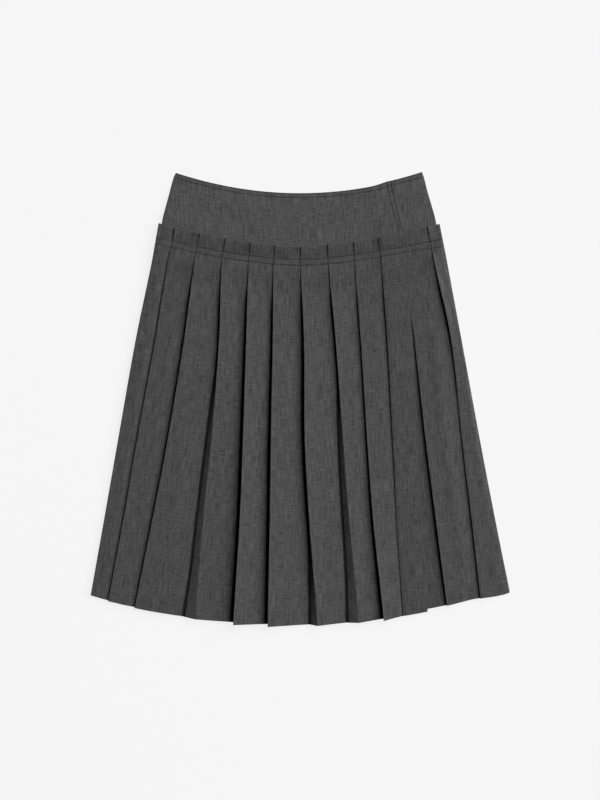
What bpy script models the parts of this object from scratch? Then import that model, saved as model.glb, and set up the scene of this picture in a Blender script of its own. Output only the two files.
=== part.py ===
"""A pleated midi skirt with a shaped yoke, laid flat with its front up.

X runs across the skirt to the viewer's right, Y runs up to the waist, and Z is up from the
surface that the skirt lies on. The tables and sizes below are in millimetres, and MM turns them
into Blender's metres.
"""

import math
from collections import namedtuple

import bmesh
import bpy

MM = 0.001

# Cloth
CLOTH = 1.0  # wall of every piece of cloth
FOLD_GAP = 0.3  # air between two layers that are pressed or sewn together
LAYER = CLOTH + FOLD_GAP  # from the middle of one layer to the middle of the next
FOLD_RADIUS = LAYER / 2
STACK = 2 * LAYER  # from a pleat's lowest layer to its face
HAIR = 0.05  # the least clearance that a face keeps from the fold under it

# Heights of the layers above the floor, at the middle of the cloth
BACK_FACE = CLOTH / 2
BACK_SEAT = BACK_FACE + STACK
FRONT_SEAT = BACK_SEAT + LAYER + 2 * HAIR
SIDE_SETTLE = 1.2  # how much lower the front lies at its sides at the hem

# The fan of the pleated cloth
FRILL_TOP = 229.5
HEM = -337.5
FRILL_RISE = 33.0
FRILL_BEND = 1.6  # how suddenly the frill's edge turns up away from the middle
HEM_BEND = 2.0
HEM_RISE_LEFT = 46.0
HEM_RISE_RIGHT = 53.0
HEM_TOOTH = 3.5  # how far a crease hangs below the layer beside it
UNDERLAP_HITCH = 7.0  # how much shorter the underlap hangs at the placket
HITCH_RUN = 130.0  # over which that fades towards the side

# Pleats
PLEAT_DEPTH = 24.0
FRILL_SPRING = 0.7  # how far a crease springs up at the frill's raw edge
FACE_SHOULDER = 0.2  # share of a face beside an open pleat's crease that counts as its top
FACE_FALL = 1.5  # how early a face gives up its crease's lift; 1 is a straight slope
FACE_FOOT = 4.0  # run between the low edge of a face and its inner fold
SHALLOW_PLEAT = 6.0
SIDE_TUCK = 9.0  # run over which the left side dips under the first crease
SIDE_TUCK_SHARE = 0.8
LEFT_RISE_TOP, LEFT_RISE_HIP = 3.0, 22.0  # run over which the back climbs to the left side
LEFT_RISE_START, LEFT_RISE_END = 200.0, 120.0  # heights between which that run grows
LEFT_BOW = 0.4  # share of that climb which the first half of the run makes
RIGHT_ROLL = 12.0  # run over which the front rolls over at the soft fold at the right side
RIGHT_ROLL_FALL = 2.5
ROLL_CLEARANCE = 2.5  # run between the last pleat's hidden fold and that roll
BACK_PLEATS = 11
BACK_START_TOP, BACK_START_HEM = 21.0, 16.0
BACK_END_TOP, BACK_END_HEM = 30.0, 40.0
REST_SHARE = 0.65  # of a back pleat's face that lies quite flat on the floor
CLIMB = 7.0  # run over which it then climbs over the next pleat's fold
UNDERLAP_CLEARANCE = 2.5
UNDERLAP_HIDDEN_EDGE = 154.0

# The yoke
YOKE_FREE_EDGE_TOP, YOKE_FREE_EDGE_FRILL = 135.0, 152.4
YOKE_UNDERLAP = 20.0
YOKE_STEP = 7.0  # run over which the overlap climbs onto the underlap
YOKE_SEGMENTS = 12
SEAM_GAP = 0.3
SHARP_ANGLE = 40.0  # degrees

# A crease's place across the skirt, read at six heights above or below the middle of the skirt
LEVELS = (240.0, 207.0, 90.0, -60.0, -180.0, -297.0)
Line = namedtuple("Line", "name frill hip thigh middle knee hem")
LEFT_SIDE = Line("left_side", -216.3, -222.2, -246.5, -273.0, -294.0, -314.8)
RIGHT_SIDE = Line("right_side", 212.0, 218.4, 240.5, 268.5, 291.5, 316.2)
PLACKET_EDGE = Line("placket_edge", 159.0, 160.5, 168.8, 177.3, 183.0, 190.2)
FRONT_CREASES = (
    Line("a", -191.2, -198.3, -218.1, -244.6, -265.2, -287.0),
    Line("b", -151.5, -158.2, -174.6, -198.5, -221.6, -245.2),
    Line("c", -112.0, -117.5, -122.1, -133.0, -145.5, -155.2),
    Line("d", -73.5, -77.1, -81.4, -85.6, -90.4, -97.8),
    Line("e", -36.1, -39.8, -41.0, -43.8, -45.4, -47.7),
    Line("f", 2.2, 0.5, 5.7, 7.0, 13.6, 21.8),
    Line("g", 41.5, 42.2, 53.1, 64.2, 73.4, 84.8),
    Line("h", 80.7, 82.0, 90.9, 100.4, 109.2, 121.8),
    Line("i", 117.9, 121.2, 130.7, 138.8, 144.8, 152.6),
)
UNDERLAP_CREASES = (
    Line("j", 155.0, 156.5, 171.2, 188.0, 203.2, 218.2),
    Line("k", 192.5, 201.0, 224.0, 242.7, 257.0, 270.0),
)

# How far each crease stands off the cloth under it, and how deep its fold runs under it.
# A negative depth is a pleat that has fallen open, so that its inner fold shows beside it.
STATIONS = (201.8, 185.0, 120.0, -60.0, -240.0, HEM)
Shape = namedtuple("Shape", "stitch release hip middle knee hem")
LIFT = {
    "a": Shape(0.1, 0.3, 0.5, 0.8, 0.9, 0.9),
    "b": Shape(0.1, 2.5, 3.8, 2.4, 1.6, 1.2),
    "c": Shape(0.1, 2.5, 5.2, 6.8, 5.5, 5.0),
    "d": Shape(0.1, 2.0, 5.2, 7.8, 9.0, 9.5),
    "e": Shape(0.1, 2.0, 4.4, 7.2, 9.0, 9.5),
    "f": Shape(0.1, 2.2, 5.0, 7.2, 8.8, 9.5),
    "g": Shape(0.1, 2.2, 4.2, 6.2, 6.5, 7.5),
    "h": Shape(0.1, 0.8, 1.0, 2.6, 4.6, 7.5),
    "i": Shape(0.1, 0.3, 0.4, 0.4, 0.5, 0.8),
    "j": Shape(0.1, 0.3, 0.8, 3.4, 3.8, 2.0),
    "k": Shape(0.1, 3.0, 1.8, 0.6, 0.9, 1.2),
}
DEPTH = {
    "c": Shape(PLEAT_DEPTH, 23.0, 8.0, -5.0, -8.5, -20.0),
    "f": Shape(PLEAT_DEPTH, PLEAT_DEPTH, 22.0, 14.0, 3.0, -12.0),
    "g": Shape(PLEAT_DEPTH, 23.0, 10.0, -5.5, -8.0, -19.0),
    "k": Shape(10.0, 10.0, 11.0, 16.0, 22.0, PLEAT_DEPTH),
}
USUAL_DEPTH = Shape(PLEAT_DEPTH, PLEAT_DEPTH, PLEAT_DEPTH, 23.0, 22.0, 22.0)

# Rows of the pleated cloth from the frill's top edge to the hem. seat is the height of the
# front's lowest layer, ridge what the placket pleat adds to it over the yoke's overlap, and
# flap how far the placket's free edge rides above the seat.
Row = namedtuple("Row", "name middle seat ridge flap")
ROWS = (
    Row("frill_top", FRILL_TOP, 9.0, 1.3, 4.9),
    Row("frill_foot", 212.0, 7.2, 1.3, 4.2),
    Row("stitched", 201.8, 7.2, 1.3, 4.2),
    Row("release", 190.0, 7.2, 1.3, 4.2),
    Row("high_hip", 160.0, 4.7, 0.0, 4.8),
    Row("hip", 118.0, FRONT_SEAT, 0.0, 5.2),
    Row("low_hip", 75.0, FRONT_SEAT, 0.0, 3.3),
    Row("thigh", 15.0, FRONT_SEAT, 0.0, 1.7),
    Row("mid_thigh", -55.0, FRONT_SEAT, 0.0, 1.6),
    Row("above_knee", -125.0, FRONT_SEAT, 0.0, 1.6),
    Row("knee", -195.0, FRONT_SEAT, 0.0, 1.6),
    Row("below_knee", -265.0, FRONT_SEAT, 0.0, 1.6),
    Row("hem", HEM, FRONT_SEAT, 0.0, 1.6),
)

# Rows of the yoke from the waist edge to the edge sewn under the pleats
YokeRow = namedtuple("YokeRow", "name middle rise left right back front")
YOKE_ROWS = (
    YokeRow("waist", 310.5, 29.5, -186.0, 183.0, 0.5, 2.2),
    YokeRow("waist_stitch", 304.0, 29.7, -189.0, 185.7, 0.7, 2.4),
    YokeRow("upper", 278.0, 30.6, -195.7, 193.2, 2.0, 3.6),
    YokeRow("lower", 252.0, 32.0, -202.5, 200.7, 3.8, 5.3),
    YokeRow("over_frill", 238.0, 33.0, -206.0, 204.2, 4.4, 5.9),
    YokeRow("sewn_edge", 196.0, 33.6, -212.6, 210.6, 4.4, 5.9),
)

# Colours are linear RGB
WOOL_GREY = (0.078, 0.078, 0.079, 1.0)
WOOL_ROUGHNESS = 0.92

Rod = namedtuple("Rod", "x z radius")  # the cloth turns round it; a positive radius turns left
Point = namedtuple("Point", "x z normal_x normal_z")


def smooth_value(levels, values, at):
    """The value at a height, on a smooth curve through values read at falling levels."""
    slopes = []
    for i in range(len(levels)):
        before, after = max(i - 1, 0), min(i + 1, len(levels) - 1)
        slopes.append((values[after] - values[before]) / (levels[after] - levels[before]))
    if at >= levels[0]:
        return values[0] + slopes[0] * (at - levels[0])
    if at <= levels[-1]:
        return values[-1] + slopes[-1] * (at - levels[-1])
    i = max(k for k in range(len(levels)) if levels[k] >= at)
    span = levels[i + 1] - levels[i]
    t = (at - levels[i]) / span
    start = (2 * t**3 - 3 * t**2 + 1) * values[i] + (t**3 - 2 * t**2 + t) * span * slopes[i]
    end = (3 * t**2 - 2 * t**3) * values[i + 1] + (t**3 - t**2) * span * slopes[i + 1]
    return start + end


def straight_value(levels, values, at):
    """The value at a height, on straight runs between values read at falling levels."""
    at = min(max(at, levels[-1]), levels[0])
    for i in range(len(levels) - 1):
        if at >= levels[i + 1]:
            t = (levels[i] - at) / (levels[i] - levels[i + 1])
            return values[i] + (values[i + 1] - values[i]) * t
    return values[-1]


def line_at(line, height):
    """Where a crease or an edge lies across the skirt at this height."""
    return smooth_value(LEVELS, line[1:], height)


def fan_share(row):
    """0 at the frill's top edge and 1 at the hem."""
    return (FRILL_TOP - row.middle) / (FRILL_TOP - HEM)


def row_height(row, x):
    """The height of a row of the pleated cloth, which curves up towards the sides."""
    hem_rise = HEM_RISE_LEFT if x < 0 else HEM_RISE_RIGHT
    rise = FRILL_RISE + (hem_rise - FRILL_RISE) * fan_share(row)
    bend = FRILL_BEND + (HEM_BEND - FRILL_BEND) * fan_share(row)
    edge = line_at(RIGHT_SIDE, row.middle + FRILL_RISE)
    return row.middle + rise * abs(x / edge) ** bend


def crossing(row, line):
    """Where a crease crosses a row, found by stepping back and forth between the two."""
    x = line_at(line, row.middle)
    for _ in range(12):
        x = line_at(line, row_height(row, x))
    return x


def lift_of(name, row):
    """How far a crease stands off the cloth under it in this row."""
    if row.name == "frill_top":
        return FRILL_SPRING
    return straight_value(STATIONS, LIFT[name], row.middle)


def depth_of(name, row):
    """How deep a pleat's fold runs under its crease in this row."""
    return straight_value(STATIONS, DEPTH.get(name, USUAL_DEPTH), row.middle)


def belt(path):
    """The middle line of cloth that runs along a path of rods, like a belt round pulleys.

    A rod of no radius is a point that the cloth passes through. Every rod that turns the cloth
    gives a point where the cloth meets it, points round it, and a point where it leaves.
    """
    angles = []
    for first, second in zip(path, path[1:]):
        across, up = second.x - first.x, second.z - first.z
        turn = (second.radius - first.radius) / math.hypot(across, up)
        angles.append(math.atan2(up, across) - math.asin(max(-1.0, min(1.0, turn))))
    points = []
    for i, rod in enumerate(path):
        meets = angles[max(i - 1, 0)]
        leaves = angles[min(i, len(angles) - 1)]
        swing = leaves - meets
        if rod.radius == 0:
            swing = math.remainder(swing, 2 * math.pi)
            turns = (0.5,)
        else:
            sense = math.copysign(1.0, rod.radius)
            swing = sense * ((sense * swing) % (2 * math.pi))
            if abs(swing) > 1.9 * math.pi:
                swing = 0.0
            turns = (0.0, 0.25, 0.5, 0.75, 1.0) if abs(rod.radius) > LAYER else (0.0, 0.5, 1.0)
        for turn in turns:
            angle = meets + swing * turn
            normal_x, normal_z = -math.sin(angle), math.cos(angle)
            x, z = rod.x - rod.radius * normal_x, rod.z - rod.radius * normal_z
            points.append(Point(x, z, normal_x, normal_z))
    return points


def via(x, z):
    """A point that the cloth passes through."""
    return Rod(x, z, 0.0)


class Run:
    """A run of pleats in one row, seen from its own side of the skirt.

    along grows in the direction of the run and out is the height above the lowest layer, towards
    the outside of the skirt. The back's run goes from right to left and its outside is down, so
    it is the front's turned half a turn.
    """

    def __init__(self, side, seat):
        self.side = side
        self.seat = seat
        self.path = []

    def rod(self, along, out, radius):
        """Adds a rod that the cloth turns round."""
        self.path.append(Rod(self.side * along, self.seat + self.side * out, radius))

    def point(self, along, out):
        """Adds a point that the cloth passes through."""
        self.rod(along, out, 0.0)

    def outer_fold(self, along, lift):
        """A crease whose edge lies at this place."""
        self.rod(along + CLOTH / 2 + FOLD_RADIUS, 3 * FOLD_RADIUS + lift, -FOLD_RADIUS)

    def inner_fold(self, along, ridge):
        """The hidden fold at the bottom of a pleat."""
        self.rod(along - FOLD_RADIUS, FOLD_RADIUS + ridge, FOLD_RADIUS)

    def face(self, crease, depth, lift, next_crease, end, end_out):
        """A pleat's face, from its crease over its own fold and down under the next crease.

        Args:
            crease: where the face starts.
            depth: how far the pleat's own hidden fold reaches under it, if at all.
            lift: how far the crease stands off that fold.
            next_crease: where the next crease covers the face.
            end: where the face meets its inner fold.
            end_out: the height of the face at its end.
        """
        first = crease + max(depth, FACE_SHOULDER * (next_crease - crease))
        last = min(next_crease, end - FACE_FOOT)
        for share in (0.0, 0.5, 1.0):
            along = first + (last - first) * share
            fall = max(0.0, 1 - (along - crease) / (last - crease)) ** FACE_FALL
            if depth > 0:
                out = STACK * (1 - share) + lift * fall + HAIR * (1 - share)
            else:
                out = (STACK + lift) * fall
            self.point(along, max(out, end_out * share))

    def resting_face(self, crease, next_crease):
        """A face that lies flat on the floor, then climbs over the next pleat's fold."""
        self.point(crease + REST_SHARE * (next_crease - crease), STACK)
        self.point(next_crease - CLIMB, STACK)
        self.point(next_crease - CLOTH / 2, 0.0)


def front_run(row):
    """The overlapping front: from the seam under the first crease to the placket's free edge."""
    run = Run(1, row.seat)
    creases = [crossing(row, line) for line in FRONT_CREASES]
    lifts = [lift_of(line.name, row) for line in FRONT_CREASES]
    depths = [depth_of(line.name, row) for line in FRONT_CREASES]
    free_edge = crossing(row, PLACKET_EDGE)
    last = len(creases) - 1
    ridges = [0.0] * last + [row.ridge]
    run.point(creases[0] + depths[0], LAYER)
    for i, crease in enumerate(creases):
        if i > 0:
            run.inner_fold(crease + depths[i], ridges[i])
        run.outer_fold(crease, ridges[i] + lifts[i])
        if i < last:
            end = creases[i + 1] + depths[i + 1]
            run.face(crease, depths[i], lifts[i], creases[i + 1], end, ridges[i + 1])
    reach = creases[last] + depths[last]
    top = STACK + row.ridge + lifts[last]
    fall = (row.flap - top) * depths[last] / (free_edge - creases[last])
    first_out = max(top + fall, STACK + row.ridge) + HAIR
    run.point(reach, first_out)
    run.point((reach + free_edge) / 2, (first_out + row.flap) / 2)
    run.point(free_edge, row.flap)
    return run.path


def back_creases(row):
    """Where the back's creases lie, even across the width, counted from the right side."""
    share = fan_share(row)
    left, right = crossing(row, LEFT_SIDE), crossing(row, RIGHT_SIDE)
    start = right - (BACK_START_TOP + (BACK_START_HEM - BACK_START_TOP) * share)
    end = left + (BACK_END_TOP + (BACK_END_HEM - BACK_END_TOP) * share)
    step = (end - start) / (BACK_PLEATS - 1)
    return [start + step * i for i in range(BACK_PLEATS)]


def side_height(row):
    """The height of the front's face where it comes to a side fold."""
    return row.seat + STACK - SIDE_SETTLE * fan_share(row)


def right_side(row, reach):
    """The soft fold at the right side, from where the last pleat's hidden fold ends."""
    edge = crossing(row, RIGHT_SIDE)
    top = side_height(row)
    radius = (top - RIGHT_ROLL_FALL - BACK_FACE) / 2
    turn = edge - CLOTH / 2 - radius
    roll = max(edge - RIGHT_ROLL, reach + ROLL_CLEARANCE)
    path = [via(reach, row.seat + STACK + HAIR), via(roll, top + HAIR)]
    path.append(via((roll + turn) / 2, top - RIGHT_ROLL_FALL / 4))
    return path + [Rod(turn, BACK_FACE + radius, -radius)]


def left_rise(row):
    """The run over which the back climbs from the floor to the crease at the left side."""
    share = (LEFT_RISE_START - row.middle) / (LEFT_RISE_START - LEFT_RISE_END)
    return LEFT_RISE_TOP + (LEFT_RISE_HIP - LEFT_RISE_TOP) * min(max(share, 0.0), 1.0)


def left_side(row):
    """The crisp crease at the left side, from where the back leaves the floor."""
    edge = crossing(row, LEFT_SIDE)
    top = side_height(row)
    turn = edge + CLOTH / 2 + FOLD_RADIUS
    start = edge + left_rise(row)
    bow = BACK_FACE + (top - 2 * FOLD_RADIUS - BACK_FACE) * LEFT_BOW
    fold = Rod(turn, top - FOLD_RADIUS, -FOLD_RADIUS)
    return [via(start, BACK_FACE), via((start + turn) / 2, bow), fold]


def underlap_run(row):
    """The underlap: from its hidden edge, round the right side, to the seam in the back."""
    run = Run(1, row.seat)
    placket = FRONT_CREASES[-1]
    hidden = crossing(row, placket) + depth_of(placket.name, row) + UNDERLAP_CLEARANCE
    hidden = max(hidden, UNDERLAP_HIDDEN_EDGE)
    first, last = [crossing(row, line) for line in UNDERLAP_CREASES]
    first_lift, last_lift = [lift_of(line.name, row) for line in UNDERLAP_CREASES]
    first_depth, last_depth = [depth_of(line.name, row) for line in UNDERLAP_CREASES]
    run.point(hidden, 0.0)
    run.point((hidden + first + first_depth) / 2, 0.0)
    run.inner_fold(first + first_depth, 0.0)
    run.outer_fold(first, first_lift)
    end = last + last_depth
    run.face(first, first_depth, first_lift, last, end, 0.0)
    run.inner_fold(end, 0.0)
    run.outer_fold(last, last_lift)
    path = run.path + right_side(row, last + max(last_depth, SHALLOW_PLEAT))
    crease = back_creases(row)[0]
    back = Run(-1, BACK_SEAT)
    back.point(-crease - CLIMB, STACK)
    back.point(-crease - CLOTH / 2, 0.0)
    back.point(-crease + PLEAT_DEPTH, 0.0)
    return path + back.path


def back_run(row):
    """The back: from its seam, across the floor, round the left side, to the front's seam."""
    run = Run(-1, BACK_SEAT)
    creases = [-x for x in back_creases(row)]
    spare = -crossing(row, LEFT_SIDE) - creases[-1] - left_rise(row)
    depths = [PLEAT_DEPTH] * (BACK_PLEATS - 1) + [max(SHALLOW_PLEAT, min(PLEAT_DEPTH, spare))]
    run.point(creases[0] + PLEAT_DEPTH, LAYER)
    for i, crease in enumerate(creases):
        if i > 0:
            run.inner_fold(crease + depths[i], 0.0)
        run.outer_fold(crease, 0.0)
        if i + 1 < BACK_PLEATS:
            run.resting_face(crease, creases[i + 1])
    path = run.path + left_side(row)
    first = FRONT_CREASES[0]
    crease = crossing(row, first)
    front = Run(1, row.seat)
    front.point(crease - SIDE_TUCK, SIDE_TUCK_SHARE * (side_height(row) - row.seat))
    front.point(crease - CLOTH / 2, 0.0)
    front.point(crease + depth_of(first.name, row), 0.0)
    return path + front.path


def yoke_free_edge(row):
    """Where the yoke's overlap ends: slanted with the flare, and straight under the frill."""
    top, frill = YOKE_ROWS[0].middle, YOKE_ROWS[-2].middle
    share = min((top - row.middle) / (top - frill), 1.0)
    return YOKE_FREE_EDGE_TOP + (YOKE_FREE_EDGE_FRILL - YOKE_FREE_EDGE_TOP) * share


def yoke_side(row, sign, front):
    """The half of a side fold that belongs to the front or to the back of the yoke."""
    edge = (row.right if sign > 0 else row.left) - sign * CLOTH / 2
    middle = (row.back + row.front) / 2
    radius = (row.front - row.back) / 2 - SEAM_GAP / 2 - HAIR
    way = 1 if front else -1
    end = via(edge, middle + way * SEAM_GAP / 2)
    fold = Rod(edge - sign * radius, middle + way * (SEAM_GAP / 2 + HAIR), -radius)
    return end, fold


def spread(start, end, count):
    """Places that divide a stretch evenly, without its two ends."""
    return [start + (end - start) * (i + 1) / (count + 1) for i in range(count)]


def yoke_front_run(row):
    """The yoke's front: from the left side seam to the free edge over the underlap."""
    end, fold = yoke_side(row, -1, True)
    free_edge = yoke_free_edge(row)
    step = free_edge - YOKE_UNDERLAP
    flat = [via(x, row.front) for x in spread(fold.x, step - YOKE_STEP, YOKE_SEGMENTS)]
    climb = [via(step - YOKE_STEP, row.front), via(step - CLOTH / 2, row.front + LAYER)]
    return [end, fold] + flat + climb + [via(free_edge, row.front + LAYER)]


def yoke_underlap_run(row):
    """The yoke's underlap: from its hidden edge to the right side seam."""
    end, fold = yoke_side(row, 1, True)
    hidden = yoke_free_edge(row) - YOKE_UNDERLAP
    flat = [via(x, row.front) for x in spread(hidden, fold.x, YOKE_SEGMENTS // 3)]
    return [via(hidden, row.front)] + flat + [fold, end]


def yoke_back_run(row):
    """The yoke's back: from the right side seam to the left one."""
    right_end, right_fold = yoke_side(row, 1, False)
    left_end, left_fold = yoke_side(row, -1, False)
    flat = [via(x, row.back) for x in spread(right_fold.x, left_fold.x, YOKE_SEGMENTS)]
    return [right_end, right_fold] + flat + [left_fold, left_end]


def yoke_height(row, x):
    """The height of a row of the yoke, which curves up towards the sides."""
    return row.middle + row.rise * (x / row.right) ** 2


def hem_drop(points, index):
    """How far the hem hangs at a point: most at the creases, which stand off the skirt."""
    heights = [point.z for point in points]
    low, high = min(heights), max(heights)
    return HEM_TOOTH * (heights[index] - low) / (high - low)


def pleated_sections(path_of, side, hitch=0.0):
    """A section of the pleated cloth for each row, as middle points with their heights."""
    sections = []
    for row in ROWS:
        points = belt(path_of(row))
        section = []
        for i, point in enumerate(points):
            height = row_height(row, point.x)
            if row.name == "hem" and side > 0:
                height -= hem_drop(points, i)
                height += hitch * max(0.0, 1 - (point.x - points[0].x) / HITCH_RUN)
            section.append((point, height))
        sections.append(section)
    return sections


def yoke_sections(path_of):
    """A section of the yoke for each row, as middle points with their heights."""
    sections = []
    for row in YOKE_ROWS:
        points = belt(path_of(row))
        sections.append([(point, yoke_height(row, point.x)) for point in points])
    return sections


def ring_of(section):
    """The closed outline of a section: along its outer side, then back along its inner one."""
    ring = []
    for half, points in ((CLOTH / 2, section), (-CLOTH / 2, section[::-1])):
        for point, height in points:
            across = point.x + half * point.normal_x
            up = point.z + half * point.normal_z
            ring.append((across * MM, height * MM, up * MM))
    return ring


def wall(name, sections, collection, material):
    """A closed wall of cloth lofted through sections that have the same number of points."""
    mesh = bmesh.new()
    rings = [[mesh.verts.new(corner) for corner in ring_of(section)] for section in sections]
    size = len(rings[0])
    for above, below in zip(rings, rings[1:]):
        for i in range(size):
            after = (i + 1) % size
            mesh.faces.new((above[i], below[i], below[after], above[after]))
    for ring in (rings[0], rings[-1]):
        for i in range(size // 2 - 1):
            mesh.faces.new((ring[i], ring[i + 1], ring[-i - 2], ring[-i - 1]))
    bmesh.ops.recalc_face_normals(mesh, faces=mesh.faces)
    data = bpy.data.meshes.new(name)
    mesh.to_mesh(data)
    mesh.free()
    data.materials.append(material)
    data.shade_smooth()
    data.set_sharp_from_angle(angle=math.radians(SHARP_ANGLE))
    collection.objects.link(bpy.data.objects.new(name, data))


def wool():
    """Plain grey wool."""
    material = bpy.data.materials.new("wool")
    material.use_nodes = True
    shader = material.node_tree.nodes["Principled BSDF"]
    shader.inputs["Base Color"].default_value = WOOL_GREY
    shader.inputs["Roughness"].default_value = WOOL_ROUGHNESS
    shader.inputs["Metallic"].default_value = 0.0
    return material


def build():
    """Clears the scene and makes the skirt."""
    for thing in list(bpy.data.objects):
        bpy.data.objects.remove(thing)
    collection = bpy.data.collections.new("pleated_skirt")
    bpy.context.scene.collection.children.link(collection)
    cloth = wool()
    wall("pleats_front", pleated_sections(front_run, 1), collection, cloth)
    wall("pleats_underlap", pleated_sections(underlap_run, 1, UNDERLAP_HITCH), collection, cloth)
    wall("pleats_back", pleated_sections(back_run, -1), collection, cloth)
    wall("yoke_front", yoke_sections(yoke_front_run), collection, cloth)
    wall("yoke_underlap", yoke_sections(yoke_underlap_run), collection, cloth)
    wall("yoke_back", yoke_sections(yoke_back_run), collection, cloth)


build()
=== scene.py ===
"""The look of a pleated midi skirt, laid flat on a pale floor and seen from straight above.

X runs across the skirt to the viewer's right, Y runs up to the waist, and Z is up from the floor.
Tables and sizes are in millimetres, and MM turns them into Blender's metres. Every piece of cloth
is a thin shell on the form of the solid that it replaces.
"""

from __future__ import annotations

import logging
import math
from dataclasses import dataclass, field
from enum import Enum
from typing import Callable, NamedTuple, Sequence

import bmesh
import bpy
from mathutils import Matrix, Vector

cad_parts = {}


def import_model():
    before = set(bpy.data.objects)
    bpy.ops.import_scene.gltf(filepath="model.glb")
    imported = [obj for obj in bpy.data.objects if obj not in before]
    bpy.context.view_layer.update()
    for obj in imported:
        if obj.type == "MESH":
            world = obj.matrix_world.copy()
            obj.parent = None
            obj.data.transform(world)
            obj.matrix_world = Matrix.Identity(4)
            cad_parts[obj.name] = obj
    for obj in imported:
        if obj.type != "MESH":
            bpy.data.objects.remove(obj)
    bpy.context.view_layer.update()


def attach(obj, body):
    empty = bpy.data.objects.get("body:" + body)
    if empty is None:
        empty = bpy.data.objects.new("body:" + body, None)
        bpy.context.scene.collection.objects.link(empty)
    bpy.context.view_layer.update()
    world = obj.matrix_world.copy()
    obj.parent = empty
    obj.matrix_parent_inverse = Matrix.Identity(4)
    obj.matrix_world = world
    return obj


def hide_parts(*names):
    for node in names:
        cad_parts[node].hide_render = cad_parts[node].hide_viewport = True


LOG = logging.getLogger("skirt")
CLOTH_MAP = "cloth"
MM = 0.001

# Cloth. The shown wool is thinner than its solid, so its layers lie closer together
WOOL = 0.36
YOKE_CLOTH = 0.7
FOLD_GAP = 0.16
LAYER = WOOL + FOLD_GAP
FOLD_RADIUS = LAYER / 2
STACK = 2 * LAYER
HAIR = 0.05  # keeps two layers from lying in one plane
EDGE_LIP = 0.25  # the last strip of cloth before a cut edge
SOLID_CLOTH = 1.0
SOLID_STACK = 2.6
SOLID_LAYER = 1.3

# Heights of the back's layers above the floor, at the middle of the cloth
BACK_FACE = 0.35
BACK_SEAT = BACK_FACE + STACK

# Rows of the pleated cloth
FRILL_TOP = 229.5
UPPER_STITCHES = 210.75
LOWER_STITCHES = 201.75
HEM = -336.9

LEAST_SQUEEZE = 0.001  # the least pressing of the layers that is worth working out
PANEL_SHIFT = 137.0  # how far apart the maps of neighbouring panels start, so that none match

# Shares of the way along a stretch of cloth
QUARTERS = (0.0, 0.25, 0.5, 0.75, 1.0)

# A crease's place across the skirt, read at six heights above or below the middle of the skirt
LINE_LEVELS = (240.0, 207.0, 90.0, -60.0, -180.0, -297.0)
LEFT_SIDE_PLACES = (-216.3, -222.2, -246.5, -273.0, -294.0, -314.8)
RIGHT_SIDE_PLACES = (214.4, 221.0, 242.8, 270.3, 293.3, 316.8)
PLACKET_PLACES = (159.0, 160.5, 168.8, 177.3, 183.0, 190.2)
CREASE_PLACES = {
    "a": (-191.2, -198.3, -217.3, -244.6, -265.2, -287.0),
    "b": (-151.5, -158.2, -173.9, -198.5, -221.6, -245.2),
    "c": (-112.0, -117.5, -121.4, -133.0, -145.5, -155.2),
    "d": (-73.5, -77.1, -80.8, -85.6, -90.4, -97.8),
    "e": (-36.1, -39.8, -41.0, -43.8, -45.4, -47.7),
    "f": (2.2, 0.5, 5.7, 7.0, 13.6, 23.0),
    "g": (41.5, 42.2, 53.1, 64.2, 73.4, 84.8),
    "h": (80.7, 82.0, 90.9, 100.4, 109.2, 121.8),
    "i": (117.9, 121.2, 130.7, 138.8, 144.8, 152.6),
    "j": (155.0, 156.5, 171.2, 188.0, 203.2, 218.2),
    "k": (194.6, 200.8, 226.2, 242.7, 257.0, 270.0),
}
FRONT_CREASES = "abcdefghi"
UNDERLAP_CREASES = "jk"

# How far each crease stands off the cloth under it, and how far its fold runs under it
STATIONS = (212.0, 201.8, 185.0, 120.0, -60.0, -240.0, -337.5)
LIFTS = {
    "a": (0.1, 0.1, 0.3, 0.5, 0.8, 0.9, 0.9),
    "b": (0.1, 0.1, 2.5, 3.8, 3.2, 2.2, 1.4),
    "c": (0.1, 0.1, 2.5, 4.4, 3.2, 2.6, 2.4),
    "d": (0.1, 0.1, 2.0, 5.2, 8.2, 9.4, 9.6),
    "e": (0.1, 0.1, 2.0, 4.4, 7.8, 9.2, 9.6),
    "f": (0.1, 0.1, 2.2, 5.0, 7.8, 6.4, 4.8),
    "g": (0.1, 0.1, 2.2, 4.0, 3.6, 4.0, 3.4),
    "h": (0.1, 0.1, 1.0, 1.5, 2.7, 5.6, 7.2),
    "i": (0.1, 0.1, 0.5, 0.8, -0.3, -1.3, -1.3),
    "j": (0.0, 0.0, 0.0, -0.6, 2.6, 3.6, 2.4),
    "k": (0.1, 0.1, 3.0, 3.2, -0.5, 0.9, 0.4),
}
USUAL_DEPTHS = (24.0, 24.0, 24.0, 24.0, 23.0, 22.0, 22.0)
DEPTHS = {
    "c": (24.0, 24.0, 23.0, 8.0, -6.5, -10.5, -17.0),
    "f": (24.0, 24.0, 24.0, 22.0, 14.0, -3.0, -11.0),
    "g": (24.0, 24.0, 23.0, 10.0, -5.5, -10.5, -17.0),
    "k": (10.0, 10.0, 10.0, 11.0, 16.0, 22.0, 24.0),
}

# The front's lowest layer, what the placket pleat adds to it over the yoke's overlap, and how far
# the placket's free edge rides above it
ROW_LEVELS = (229.5, 212.0, 201.8, 190.0, 160.0, 118.0, 75.0, 15.0, -55.0, -337.5)
SEATS = (6.6, 6.5, 6.5, 6.5, 4.7, 4.5, 4.5, 4.5, 4.5, 4.5)
RIDGES = (1.3, 1.3, 1.3, 1.3, 0.0, 0.0, 0.0, 0.0, 0.0, 0.0)
FLAPS = (2.9, 2.5, 2.4, 2.4, 2.4, 2.5, 1.7, 0.9, 0.8, 0.8)

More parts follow.
